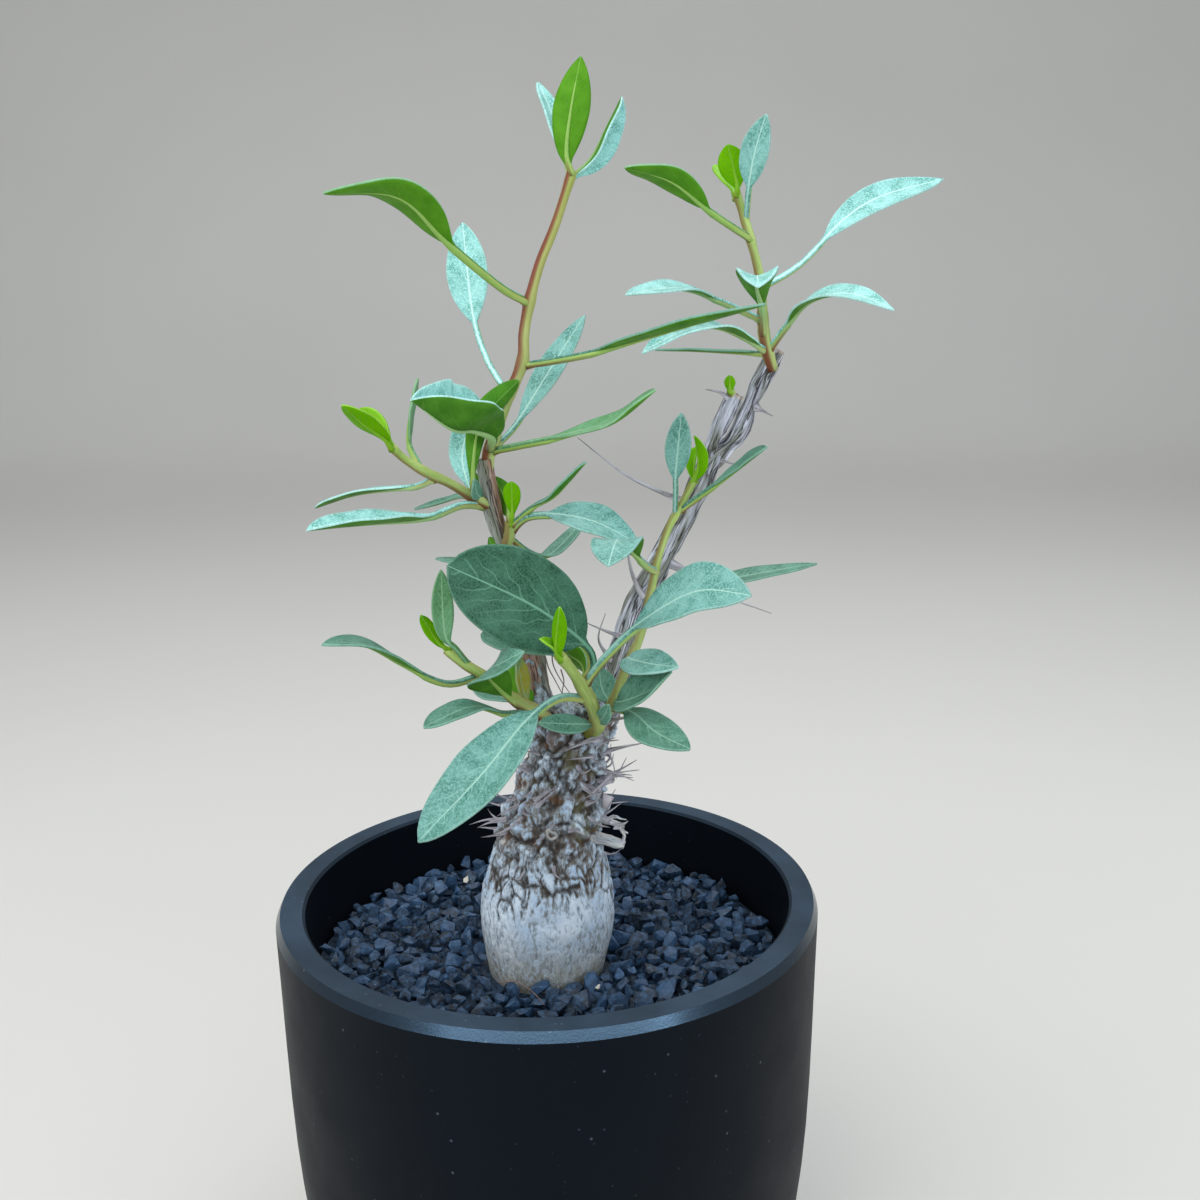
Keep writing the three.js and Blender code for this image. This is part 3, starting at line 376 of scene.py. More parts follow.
        [[44, 3, 249], [35, -4, 254], [27, -11, 259], [18, -18, 261]], tone=FRESH),
      leaf(6.8, 0.36, 0.48, [0.15, -0.75, 0.7], 12,
        [[46, 3, 239], [55, 8, 244], [65, 15, 253], [74, 20, 258], [89, 28, 262]], tone=PALE),
      leaf(8.5, 0.22, 0.58, [0, 0.2, 1], 22,
        [[47, 4, 230], [46, -1, 235], [44, -8, 239], [43, -17, 241], [42, -27, 239]], tone=PALE),
      leaf(7, 0.34, 0.52, [0, -0.35, 1], 12,
        [[46.5, 3.5, 233], [37, -1, 237], [29, -8, 239], [18, -16, 238]], tone=PALE),
      leaf(7.4, 0.1, 0.5, [-0.1, -0.3, 1], 14,
        [[48, 4.6, 226.5], [43, -1, 229], [36, -7, 231.5], [28.5, -13, 230.5], [21, -19, 227]], tone=PALE),
      leaf(6, 0.1, 0.5, [0, 0.05, 1], 6, [[48, 4.6, 226], [44, 9, 226], [35, 18, 226], [25.5, 26, 226]]),
      leaf(7, 0.22, 0.42, [0.1, -0.5, 0.8], 14,
        [[48, 4.5, 226.5], [51.5, 1, 232], [55.5, -4, 236.5], [62, -11, 237.5], [69, -18, 234.5]], tone=PALE),
    ] },
  {"name": "bud_left_fork", "fresh_foot": 0.5, "red": [0.5, 0.5],
    "radius": [0.7, 0.7],
    "stem": [[41, 4.6, 216], [40.2, 3.6, 218.5]],
    "leaves": [
      leaf(2.2, 0.1, 0.5, [0.2, 1, 0], 24, [[40.2, 3.6, 218], [40, 3, 219.5], [40, 2.5, 221.5]], tone=YOUNG),
    ] },
]


# Lines and frames

def smooth_line(points, steps):
    """Evenly spaced places along a smooth line through hand-placed points, in metres."""
    knots = [Vector(place) * MM for place in points]
    knots = [2 * knots[0] - knots[1], *knots, 2 * knots[-1] - knots[-2]]
    fine = []
    for a, b, c, d in zip(knots, knots[1:], knots[2:], knots[3:]):
        for j in range(16):
            t = j / 16
            fine.append(0.5 * (2 * b + (c - a) * t + (2 * a - 5 * b + 4 * c - d) * t * t
                               + (3 * b - a - 3 * c + d) * t ** 3))
    fine.append(knots[-2])
    reached = [0.0]
    for here, there in zip(fine, fine[1:]):
        reached.append(reached[-1] + (there - here).length)
    places = []
    i = 0
    for k in range(steps + 1):
        wanted = reached[-1] * k / steps
        while i < len(fine) - 2 and reached[i + 1] < wanted:
            i += 1
        share = (wanted - reached[i]) / max(reached[i + 1] - reached[i], 1e-9)
        places.append(fine[i].lerp(fine[i + 1], min(share, 1)))
    return places, reached[-1]


def evenly_along(points, fewest, spacing):
    """Places along a smooth line about a spacing apart, which is in millimetres."""
    _, length = smooth_line(points, 10)
    return smooth_line(points, max(fewest, int(length / (spacing * MM))))[0]


def stations_along(places, face, given):
    """Matrices along a line: X across, Y the way the face looks, Z forward. The face is carried without
    turning from the place where it is given."""
    last = len(places) - 1
    forward = [(places[min(i + 1, last)] - places[max(i - 1, 0)]).normalized() for i in range(last + 1)]
    faces = [None] * (last + 1)

    def level(i, direction):
        return (direction - direction.dot(forward[i]) * forward[i]).normalized()

    faces[given] = level(given, Vector(face))
    for i in range(given + 1, last + 1):
        faces[i] = level(i, faces[i - 1])
    for i in range(given - 1, -1, -1):
        faces[i] = level(i, faces[i + 1])
    return [Matrix.Translation(place) @ Matrix((up.cross(ahead), up, ahead)).transposed().to_4x4()
            for place, up, ahead in zip(places, faces, forward)]


def station_at(stations, share):
    """The station at a share of the line, from 0 to 1."""
    wanted = min(max(share, 0), 1) * (len(stations) - 1)
    i = min(int(wanted), len(stations) - 2)
    return stations[i].lerp(stations[i + 1], wanted - i)


# Building blocks

def add_tube(bm, stations, radii, sides):
    """A round tube through stations, its radii in metres. The grain layer keeps its straightened place:
    across in X and Y, and along in Z."""
    grain = bm.verts.layers.float_vector["grain"]
    steps = len(stations) - 1
    sizes = [Matrix.Diagonal((radius, radius, 1, 1)) for radius in radii]
    start = stations[0] @ sizes[0]
    ring = bmesh.ops.create_circle(bm, cap_ends=True, segments=sides, radius=1, matrix=start)["verts"]
    edges = list(dict.fromkeys(edge for vert in ring for edge in vert.link_edges))
    along = 0.0
    made = list(ring)
    for i in range(steps + 1):
        if i:
            out = bmesh.ops.extrude_edge_only(bm, edges=edges)["geom"]
            ring = [item for item in out if isinstance(item, bmesh.types.BMVert)]
            edges = [item for item in out if isinstance(item, bmesh.types.BMEdge) and item.is_boundary]
            move = stations[i] @ sizes[i] @ (stations[i - 1] @ sizes[i - 1]).inverted()
            bmesh.ops.transform(bm, matrix=move, verts=ring)
            along += (stations[i].translation - stations[i - 1].translation).length
            made += ring
        back = stations[i].inverted()
        for vert in ring:
            local = back @ vert.co
            vert[grain] = (local.x, local.y, along)
    bmesh.ops.contextual_create(bm, geom=edges)
    return made


def tapered(foot, top, steps, power=1.0):
    """Radii from foot to top in metres, given in millimetres."""
    return [MM * (foot + (top - foot) * (i / steps) ** power) for i in range(steps + 1)]


def new_bmesh():
    """A bmesh with the layers that the materials read: the straightened place in a tube, the place on a
    blade in millimetres and in shares, and the tone."""
    bm = bmesh.new()
    for layer in ("grain", "blade", "tone", "spot"):
        bm.verts.layers.float_vector.new(layer)
    return bm


def new_mesh(name, bm):
    """The bmesh as a mesh."""
    mesh = bpy.data.meshes.new(name)
    bm.to_mesh(mesh)
    bm.free()
    return mesh


def new_object(name, data):
    """An object in the scene with the given data."""
    made = bpy.data.objects.new(name, data)
    bpy.context.scene.collection.objects.link(made)
    return made


def finish_piece(name, bm, materials, node, smooth=True, recalculate=True):
    """The bmesh as an object that stands for a CAD node."""
    if recalculate:
        bmesh.ops.recalc_face_normals(bm, faces=bm.faces[:])
    mesh = new_mesh(name, bm)
    if smooth:
        mesh.shade_smooth()
    for material in materials:
        mesh.materials.append(material)
    piece = new_object(name, mesh)
    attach(piece, "root")
    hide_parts(node)
    return piece


def applied(piece):
    """Applies the piece's modifiers to its mesh."""
    bpy.context.view_layer.update()
    old = piece.data
    mesh = bpy.data.meshes.new_from_object(piece.evaluated_get(bpy.context.evaluated_depsgraph_get()))
    piece.modifiers.clear()
    piece.data = mesh
    name = old.name
    bpy.data.meshes.remove(old)
    mesh.name = name


# Shader helpers

def srgb(red, green, blue):
    """A colour as it looks on a screen, 0 to 255, as linear light."""
    def linear(value):
        share = value / 255
        return share / 12.92 if share <= 0.04045 else ((share + 0.055) / 1.055) ** 2.4
    return (linear(red), linear(green), linear(blue), 1.0)


def feed(tree, socket, value):
    """Links a socket to another socket, or sets it to a plain value."""
    if isinstance(value, bpy.types.NodeSocket):
        tree.links.new(value, socket)
    else:
        socket.default_value = value


def add_node(tree, kind, inputs=None, **settings):
    """A shader node with its settings, and each input set or linked."""
    made = tree.nodes.new("ShaderNode" + kind)
    for name, value in settings.items():
        setattr(made, name, value)
    for key, value in (inputs or {}).items():
        feed(tree, made.inputs[key], value)
    return made


def maths(tree, operation, a, b=0.0):
    return add_node(tree, "Math", {0: a, 1: b}, operation=operation).outputs[0]


def plus(tree, a, b):
    return maths(tree, "ADD", a, b)


def minus(tree, a, b):
    return maths(tree, "SUBTRACT", a, b)


def times(tree, a, b):
    return maths(tree, "MULTIPLY", a, b)


def spread(tree, value, low, high, to_low=0.0, to_high=1.0):
    """Value carried from the range low to high into another range, and held at its ends."""
    inputs = {"Value": value, "From Min": low, "From Max": high, "To Min": to_low, "To Max": to_high}
    return add_node(tree, "MapRange", inputs).outputs["Result"]


def blend(tree, share, a, b):
    """Colour a where the share is 0 and colour b where it is 1."""
    inputs = {"Factor_Float": share, "A_Color": a, "B_Color": b}
    made = add_node(tree, "Mix", data_type="RGBA")
    for socket in made.inputs:
        if socket.identifier in inputs:
            feed(tree, socket, inputs[socket.identifier])
    return next(socket for socket in made.outputs if socket.type == "RGBA")


def along_grain(tree, vector, share):
    """A place whose features are drawn out along Z."""
    return add_node(tree, "Mapping", {"Vector": vector, "Scale": (1, 1, share)}).outputs["Vector"]


def cloudy(tree, vector, scale, detail, roughness=0.55):
    inputs = {"Vector": vector, "Scale": scale, "Detail": detail, "Roughness": roughness}
    return add_node(tree, "TexNoise", inputs).outputs["Fac"]


def cells(tree, vector, scale, feature="F1"):
    node = add_node(tree, "TexVoronoi", {"Vector": vector, "Scale": scale}, feature=feature)
    return node.outputs["Distance"]


def own_place(tree):
    """The place on the piece itself, in metres."""
    return add_node(tree, "TexCoord").outputs["Object"]


def own_attribute(tree, name):
    return add_node(tree, "Attribute", attribute_name=name).outputs["Vector"]


def parts_of(tree, vector):
    made = add_node(tree, "SeparateXYZ", {"Vector": vector})
    return made.outputs["X"], made.outputs["Y"], made.outputs["Z"]


def raised(tree, height, distance, strength=1.0):
    """A normal that follows a height, given as a share of a distance in metres."""
    inputs = {"Height": height, "Distance": distance, "Strength": strength}
    return add_node(tree, "Bump", inputs).outputs["Normal"]


def new_material(name, **plain):
    """A material with one Principled shader, its plain sockets set."""
    material = bpy.data.materials.new(name)
    material.use_nodes = True
    shader = material.node_tree.nodes["Principled BSDF"]
    for key, value in plain.items():
        shader.inputs[key.replace("_", " ")].default_value = value
    return material, material.node_tree, shader


def connect(tree, shader, **sockets):
    for key, value in sockets.items():
        tree.links.new(value, shader.inputs[key.replace("_", " ")])


def new_group(name, inputs, outputs):
    """A node group with named inputs and outputs, its group input and its group output."""
    tree = bpy.data.node_groups.new(name, "ShaderNodeTree")
    for direction, sockets in (("INPUT", inputs), ("OUTPUT", outputs)):
        for label, kind in sockets.items():
            tree.interface.new_socket(label, in_out=direction, socket_type="NodeSocket" + kind)
    return tree, tree.nodes.new("NodeGroupInput").outputs, tree.nodes.new("NodeGroupOutput").inputs


def use_group(tree, group, inputs):
    """The outputs of a shared effect with the given inputs."""
    return add_node(tree, "Group", inputs, node_tree=group).outputs


# Effects that several materials share

def specks_group():
    """Scattered round specks: a mask that is 1 on each speck. Share is how many cells hold one."""
    tree, given, out = new_group(
        "scattered_specks", {"Place": "Vector", "Scale": "Float", "Size": "Float", "Share": "Float"},
        {"Mask": "Float"})
    voronoi = add_node(tree, "TexVoronoi", {"Vector": given["Place"], "Scale": given["Scale"]})
    near = spread(tree, voronoi.outputs["Distance"], given["Size"], times(tree, given["Size"], 0.4))
    chosen = maths(tree, "LESS_THAN", parts_of(tree, voronoi.outputs["Color"])[0], given["Share"])
    tree.links.new(times(tree, near, chosen), out["Mask"])
    return tree


def strands_group():
    """Fine strands that run along Z: a value from 0 in the hollows to 1 on the crests, thin grooves
    between them, and wide patches."""
    tree, given, out = new_group(
        "lengthwise_strands", {"Place": "Vector", "Scale": "Float", "Stretch": "Float"},
        {"Strands": "Float", "Grooves": "Float", "Patches": "Float"})
    across = add_node(tree, "CombineXYZ", {"X": 1.0, "Y": 1.0, "Z": given["Stretch"]}).outputs[0]
    place = add_node(tree, "VectorMath", {0: given["Place"], 1: across}, operation="MULTIPLY").outputs[0]
    fine = cloudy(tree, place, given["Scale"], 6.0, 0.65)
    broad = cloudy(tree, place, times(tree, given["Scale"], 0.22), 3.0, 0.5)
    tree.links.new(spread(tree, fine, 0.36, 0.64), out["Strands"])
    middle = cloudy(tree, place, times(tree, given["Scale"], 0.62), 3.0, 0.6)
    away = maths(tree, "ABSOLUTE", minus(tree, middle, 0.5))
    tree.links.new(spread(tree, away, 0.008, 0.03, 1.0, 0.0), out["Grooves"])
    tree.links.new(spread(tree, broad, 0.4, 0.6), out["Patches"])
    return tree


def veins_group():
    """The veins of a blade from its own layout: the midrib, curved side veins and a fine net between.
    Blade holds the distance from the midrib, along the blade and to the margin where it is widest, in
    millimetres. Spot holds the share of the way to the margin and to the tip."""
    tree, given, out = new_group(
        "leaf_veins", {"Blade": "Vector", "Spot": "Vector"},
        {"Midrib": "Float", "Side": "Float", "Net": "Float", "Margin": "Float"})
    x, along, half = parts_of(tree, given["Blade"])
    edge, tip, _ = parts_of(tree, given["Spot"])
    away = maths(tree, "ABSOLUTE", x)
    spacing = plus(tree, times(tree, half, 0.48), 0.8)
    wobble = times(tree, cloudy(tree, given["Blade"], 0.16, 1.0), spacing)
    slanted = minus(tree, along, times(tree, away, 1.35))
    slanted = minus(tree, slanted, times(tree, times(tree, away, edge), 0.6))
    slanted = plus(tree, slanted, times(tree, wobble, 1.8))
    offset = times(tree, maths(tree, "GREATER_THAN", x, 0.0), spacing)
    slanted = plus(tree, slanted, times(tree, offset, 0.5))
    gap = maths(tree, "PINGPONG", slanted, times(tree, spacing, 0.5))
    side = spread(tree, gap, 0.05, plus(tree, times(tree, half, 0.025), 0.16), 1.0, 0.0)
    fade = spread(tree, edge, 0.25, 0.85, 1.0, 0.15)
    rib = plus(tree, times(tree, half, 0.012), 0.18)
    rib = times(tree, rib, spread(tree, tip, 0.0, 1.0, 1.6, 0.45))
    tree.links.new(spread(tree, away, times(tree, rib, 0.35), rib, 1.0, 0.0), out["Midrib"])
    tree.links.new(times(tree, side, fade), out["Side"])
    net = cells(tree, given["Blade"], 0.9, "DISTANCE_TO_EDGE")
    tree.links.new(spread(tree, net, 0.02, 0.12, 1.0, 0.0), out["Net"])
    tree.links.new(spread(tree, edge, 0.955, 1.0), out["Margin"])
    return tree


specks = specks_group()
strands = strands_group()
veins = veins_group()


def specked(tree, place, scale, size, share):
    """A mask of scattered round specks. Share is how many cells hold one."""
    return use_group(tree, specks, {"Place": place, "Scale": scale, "Size": size, "Share": share})["Mask"]


def scarred(tree, place, where):
    """Round scars of a few millimetres: a mask of their rings and one of their sunken middles."""
    scars = add_node(tree, "TexVoronoi", {"Vector": place, "Scale": 190.0})
    chosen = maths(tree, "LESS_THAN", parts_of(tree, scars.outputs["Color"])[0], 0.35)
    chosen = times(tree, chosen, where)
    off_ring = maths(tree, "ABSOLUTE", minus(tree, scars.outputs["Distance"], 0.26))
    ring = times(tree, chosen, spread(tree, off_ring, 0.02, 0.08, 1.0, 0.0))
    inside = times(tree, chosen, spread(tree, scars.outputs["Distance"], 0.14, 0.22, 0.8, 0.0))
    return ring, inside


# Materials

def pot_material():
    """Matt blue-black, with a smoother bevel, a painted bluish sky sheen on the rim and other upward faces,
    and scattered specks.
    """
    material, tree, shader = new_material("pot_matt_black", Specular_Tint=(0.45, 0.72, 1.0, 1.0))
    place = own_place(tree)
    mottle = cloudy(tree, place, 60, 5)
    colour = blend(tree, mottle, srgb(7, 9, 13), srgb(12, 15, 20))
    dust = specked(tree, place, 420.0, 0.15, 0.1)
    fine = specked(tree, place, 900.0, 0.2, 0.06)
    upward = parts_of(tree, add_node(tree, "NewGeometry").outputs["Normal"])[2]
    settled = times(tree, fine, spread(tree, upward, 0.4, 0.9, 0.1, 0.5))
    colour = blend(tree, times(tree, dust, 0.4), colour, srgb(100, 112, 124))
    colour = blend(tree, settled, colour, srgb(130, 140, 150))
    # painted sheen: faces that look up are lightened towards a pale sky blue, standing in for the sky
    # reflected on the rim
    painted_sky_sheen = times(tree, spread(tree, upward, 0.5, 0.95), spread(tree, mottle, 0.35, 0.7, 0.12, 0.22))
    colour = blend(tree, painted_sky_sheen, colour, srgb(116, 142, 168))
    bevel = times(tree, spread(tree, upward, 0.3, 0.4), spread(tree, upward, 0.5, 0.7, 1.0, 0.0))
    dull = spread(tree, mottle, 0.3, 0.7, 0.44, 0.56)
    grain = cloudy(tree, place, 2600, 2)
    connect(tree, shader, Base_Color=colour, Roughness=spread(tree, bevel, 0.0, 1.0, dull, 0.2),
            Specular_IOR_Level=spread(tree, bevel, 0.0, 1.0, 0.1, 1.0),
            Normal=raised(tree, grain, 0.00003, 0.5))
    return material


def potting_material():
    material, tree, shader = new_material("potting_mix_brown", Roughness=0.95)
    place = own_place(tree)
    crumbs = cells(tree, place, 420)
    colour = blend(tree, crumbs, srgb(40, 30, 24), srgb(92, 74, 58))
    pumice = specked(tree, place, 260.0, 0.3, 0.12)
    connect(tree, shader, Base_Color=blend(tree, pumice, colour, srgb(186, 178, 164)),
            Normal=raised(tree, crumbs, 0.0006))
    return material


def gravel_material():
    material, tree, shader = new_material("gravel_blue_black", Specular_IOR_Level=0.5)
    place = own_place(tree)
    tint, dull, stray = parts_of(tree, own_attribute(tree, "tone"))
    grit = cloudy(tree, place, 900, 6, 0.7)
    colour = blend(tree, tint, srgb(9, 19, 30), srgb(38, 65, 94))
    colour = blend(tree, spread(tree, grit, 0.45, 0.8), colour, srgb(70, 106, 144))
    glint = specked(tree, place, 900.0, 0.22, 0.06)
    colour = blend(tree, times(tree, glint, 0.6), colour, srgb(120, 148, 176))
    colour = blend(tree, stray, colour, srgb(222, 214, 196))
    connect(tree, shader, Base_Color=colour, Roughness=spread(tree, dull, 0.0, 1.0, 0.42, 0.8),
            Normal=raised(tree, grit, 0.0002, 0.8))
    return material


def caudex_material():
    """Flaking silvery bark: fine silver flecks over grey and brown, browner low down, with painted shade
    darkening the hollows, and rust and round scars in the neck. The first tone is how far the bark stands
    out."""
    material, tree, shader = new_material("caudex_bark", Specular_IOR_Level=0.3)
    place = own_place(tree)
    height = parts_of(tree, place)[2]
    crest = parts_of(tree, own_attribute(tree, "tone"))[0]
    fine = cloudy(tree, along_grain(tree, place, 0.42), 1150, 6, 0.72)
    coarse = cloudy(tree, along_grain(tree, place, 0.5), 300, 4, 0.6)
    broad = cloudy(tree, place, 90, 3)
    neck = spread(tree, height, 0.117, 0.124)
    low = spread(tree, height, 0.094, 0.107, 1.0, 0.0)
    cover = plus(tree, fine, spread(tree, coarse, 0.35, 0.65, -0.07, 0.07))
    cover = plus(tree, cover, spread(tree, crest, 0.2, 0.8, -0.08, 0.09))
    cover = minus(tree, cover, times(tree, low, 0.06))
    ground = blend(tree, spread(tree, broad, 0.4, 0.6), srgb(148, 146, 142), srgb(168, 182, 194))
    silver = blend(tree, spread(tree, broad, 0.38, 0.62), srgb(196, 218, 240), srgb(238, 246, 254))
    colour = blend(tree, spread(tree, cover, 0.47, 0.6), ground, silver)
    colour = blend(tree, spread(tree, cover, 0.35, 0.45, 0.85, 0.0), colour, srgb(96, 82, 68))
    warm = times(tree, low, spread(tree, coarse, 0.35, 0.6, 0.2, 0.75))
    colour = blend(tree, warm, colour, srgb(152, 140, 108))
    # painted shade: the bark is darkened where it stands out least, in the hollows between flakes and knobs
    painted_hollow_shade = spread(tree, crest, 0.05, 0.4, 0.95, 0.0)
    colour = blend(tree, painted_hollow_shade, colour, srgb(60, 50, 44))
    stained = times(tree, neck, spread(tree, cloudy(tree, place, 210, 4), 0.54, 0.64))
    stain = blend(tree, spread(tree, broad, 0.45, 0.55), srgb(124, 84, 58), srgb(112, 106, 62))
    colour = blend(tree, times(tree, stained, 0.7), colour, stain)
    ring, inside = scarred(tree, place, neck)
    colour = blend(tree, inside, colour, srgb(118, 80, 54))
    colour = blend(tree, ring, colour, srgb(206, 202, 196))
    bump = plus(tree, cover, times(tree, ring, 0.5))
    connect(tree, shader, Base_Color=colour, Roughness=spread(tree, cover, 0.35, 0.6, 0.85, 0.5),
            Normal=raised(tree, bump, 0.0012, 1.0))
    return material


def stem_wood_material():
    """Lilac-grey wood with olive bands and dark lengthwise grooves. Tone is how warm it is and whether it is
    a pale cut end. The left stem is warm: olive, with an orange-brown stripe that winds round it."""
    material, tree, shader = new_material("stem_wood", Specular_IOR_Level=0.3)
    grain = own_attribute(tree, "grain")
    x, y, along = parts_of(tree, grain)
    warm, cut_end, _ = parts_of(tree, own_attribute(tree, "tone"))
    strand = use_group(tree, strands, {"Place": grain, "Scale": 1500.0, "Stretch": 0.07})
    broad = spread(tree, cloudy(tree, along_grain(tree, grain, 0.2), 460, 3), 0.46, 0.56)
    grey = blend(tree, strand["Strands"], srgb(150, 152, 162), srgb(240, 238, 250))
    grey = blend(tree, times(tree, broad, 0.7), grey, srgb(122, 124, 98))
    turn = maths(tree, "ARCTAN2", y, x)
    winding = spread(tree, along, 0.012, 0.04, 0.3, math.pi)
    stripe = spread(tree, maths(tree, "COSINE", minus(tree, turn, winding)), 0.0, 0.6)
    tan = blend(tree, strand["Patches"], srgb(150, 148, 124), srgb(206, 206, 192))
    tan = blend(tree, times(tree, stripe, 0.9), tan, srgb(186, 122, 78))
    colour = blend(tree, warm, grey, tan)
    dark = maths(tree, "MAXIMUM", strand["Grooves"], spread(tree, strand["Strands"], 0.0, 0.12, 1.0, 0.0))
    dark = times(tree, dark, spread(tree, warm, 0.0, 1.0, 0.95, 0.8))
    colour = blend(tree, dark, colour, srgb(52, 46, 46))
    colour = blend(tree, cut_end, colour, srgb(214, 192, 170))
    lift = minus(tree, strand["Strands"], strand["Grooves"])
    connect(tree, shader, Base_Color=colour, Roughness=spread(tree, strand["Strands"], 0, 1, 0.85, 0.55),
            Normal=raised(tree, lift, 0.0004, 1.0))
    return material


def spine_material():
    """Lilac-grey spines with dark tips. Tone is how dried and brown, the share of the way to the tip, and
    how creamy."""
    material, tree, shader = new_material("spine_grey", Roughness=0.5, Specular_IOR_Level=0.3)
    grain = own_attribute(tree, "grain")
    streak = use_group(tree, strands, {"Place": grain, "Scale": 2200.0, "Stretch": 0.08})
    dried, along, cream = parts_of(tree, own_attribute(tree, "tone"))
    colour = blend(tree, streak["Patches"], srgb(166, 158, 164), srgb(236, 232, 240))
    pale = blend(tree, streak["Patches"], srgb(186, 190, 194), srgb(236, 230, 214))
    colour = blend(tree, times(tree, cream, spread(tree, along, 0.2, 0.7)), colour, pale)
    colour = blend(tree, spread(tree, streak["Strands"], 0.0, 0.3, 0.8, 0.0), colour, srgb(84, 72, 68))
    tip = minus(tree, spread(tree, along, 0.7, 1.0), cream)
    colour = blend(tree, spread(tree, tip, 0.0, 1.0, 0.0, 0.85), colour, srgb(78, 58, 54))
    colour = blend(tree, dried, colour, srgb(128, 98, 80))
    connect(tree, shader, Base_Color=colour, Normal=raised(tree, streak["Strands"], 0.0003, 0.9))
    return material


def green_stem_material():
    """Pale olive stems and stalks with a red-brown side. Tone is how young, how silvery and how red."""
    material, tree, shader = new_material("green_stem", Roughness=0.45, Specular_IOR_Level=0.25)
    grain = own_attribute(tree, "grain")
    young, silver, red = parts_of(tree, own_attribute(tree, "tone"))
    streak = use_group(tree, strands, {"Place": grain, "Scale": 1100.0, "Stretch": 0.1})
    olive = blend(tree, streak["Strands"], srgb(142, 160, 84), srgb(184, 196, 124))
    olive = blend(tree, spread(tree, red, 1.0, 1.5, 0.0, 0.6), olive, srgb(176, 144, 92))
    olive = blend(tree, young, olive, srgb(124, 174, 30))
    olive = blend(tree, silver, olive, srgb(164, 204, 176))
    x, y, _ = parts_of(tree, grain)
    turn = maths(tree, "ARCTAN2", y, x)
    facing = maths(tree, "COSINE", plus(tree, turn, 2.3))
    tanned = times(tree, spread(tree, facing, -0.9, -0.1, 0.5, 0.0), red)
    colour = blend(tree, tanned, olive, srgb(186, 150, 96))
    uneven = plus(tree, facing, times(tree, streak["Patches"], 0.3))
    flushed = times(tree, spread(tree, uneven, 0.7, 1.15), red)
    colour = blend(tree, flushed, colour, srgb(122, 66, 44))
    connect(tree, shader, Base_Color=colour, Normal=raised(tree, streak["Strands"], 0.00008, 0.6))
    return material


def speckle(tree, blade, low, high):
    """The fine mottle of pale hairs and pores over a leaf."""
    return spread(tree, cloudy(tree, blade, 2.6, 5, 0.75), low, high)


def leaf_upper_material():
    """Blue-green with silvery mottle and veins. Tone is how young, how silvery and how yellow."""
    material, tree, shader = new_material("leaf_upper", Specular_IOR_Level=0.2)
    blade = own_attribute(tree, "blade")
    young, silver, yellow = parts_of(tree, own_attribute(tree, "tone"))
    vein = use_group(tree, veins, {"Blade": blade, "Spot": own_attribute(tree, "spot")})
    patch = cloudy(tree, blade, 0.25, 2)
    ground = blend(tree, silver, srgb(26, 70, 48), srgb(88, 156, 142))
    fleck = blend(tree, silver, srgb(70, 116, 92), srgb(172, 228, 222))
    flecks = speckle(tree, blade, 0.45, 0.6)
    colour = blend(tree, times(tree, flecks, 0.8), ground, fleck)
    colour = blend(tree, spread(tree, patch, 0.4, 0.6, 0.0, 0.5), colour, fleck)
    colour = blend(tree, young, colour, blend(tree, patch, srgb(98, 164, 4), srgb(138, 194, 30)))
    colour = blend(tree, times(tree, yellow, spread(tree, patch, 0.3, 0.6)), colour, srgb(168, 158, 46))
    rib = blend(tree, silver, srgb(116, 164, 136), srgb(204, 236, 226))
    rib = blend(tree, young, rib, srgb(160, 206, 80))
    for mask, strength in (("Net", 0.1), ("Side", 0.42), ("Margin", 0.4), ("Midrib", 0.85)):
        colour = blend(tree, times(tree, vein[mask], strength), colour, rib)
    lift = plus(tree, vein["Side"], times(tree, vein["Net"], 0.4))
    connect(tree, shader, Base_Color=colour, Roughness=spread(tree, flecks, 0, 1, 0.4, 0.55),
            Normal=raised(tree, lift, 0.00015, -0.8))
    return material


def leaf_under_material():
    """Smooth fresh green with a paler midrib."""
    material, tree, shader = new_material("leaf_under", Specular_IOR_Level=0.05, Roughness=0.5)
    blade = own_attribute(tree, "blade")
    young, _, yellow = parts_of(tree, own_attribute(tree, "tone"))
    vein = use_group(tree, veins, {"Blade": blade, "Spot": own_attribute(tree, "spot")})
    patch = cloudy(tree, blade, 0.25, 3)
    colour = blend(tree, spread(tree, patch, 0.3, 0.7), srgb(56, 110, 24), srgb(80, 136, 38))
    colour = blend(tree, times(tree, speckle(tree, blade, 0.45, 0.7), 0.15), colour, srgb(110, 160, 84))
    colour = blend(tree, young, colour, blend(tree, patch, srgb(82, 150, 0), srgb(116, 180, 0)))
    colour = blend(tree, times(tree, yellow, spread(tree, patch, 0.3, 0.6)), colour, srgb(160, 150, 40))
    for mask, strength in (("Side", 0.16), ("Margin", 0.3), ("Midrib", 0.5)):
        colour = blend(tree, times(tree, vein[mask], strength), colour, srgb(140, 180, 90))
    connect(tree, shader, Base_Color=colour, Normal=raised(tree, vein["Side"], 0.00012, 0.7))
    return material


def floor_material():
    material, tree, shader = new_material("studio_floor", Roughness=0.7)
    shade = cloudy(tree, own_place(tree), 3, 2)
    connect(tree, shader, Base_Color=blend(tree, shade, srgb(206, 201, 193), srgb(213, 208, 201)))
    return material


# Pot

def outer_radius(height):
    d = (POT_HEIGHT - height) / 100
    return RIM_RADIUS - 2.67 * d + 2.98 * d ** 2 - 10.5 * d ** 4


def inner_radius(height):
    d = (POT_HEIGHT - height) / 100
    return RIM_RADIUS - RIM_WIDTH - 3 * d - 10 * d ** 3


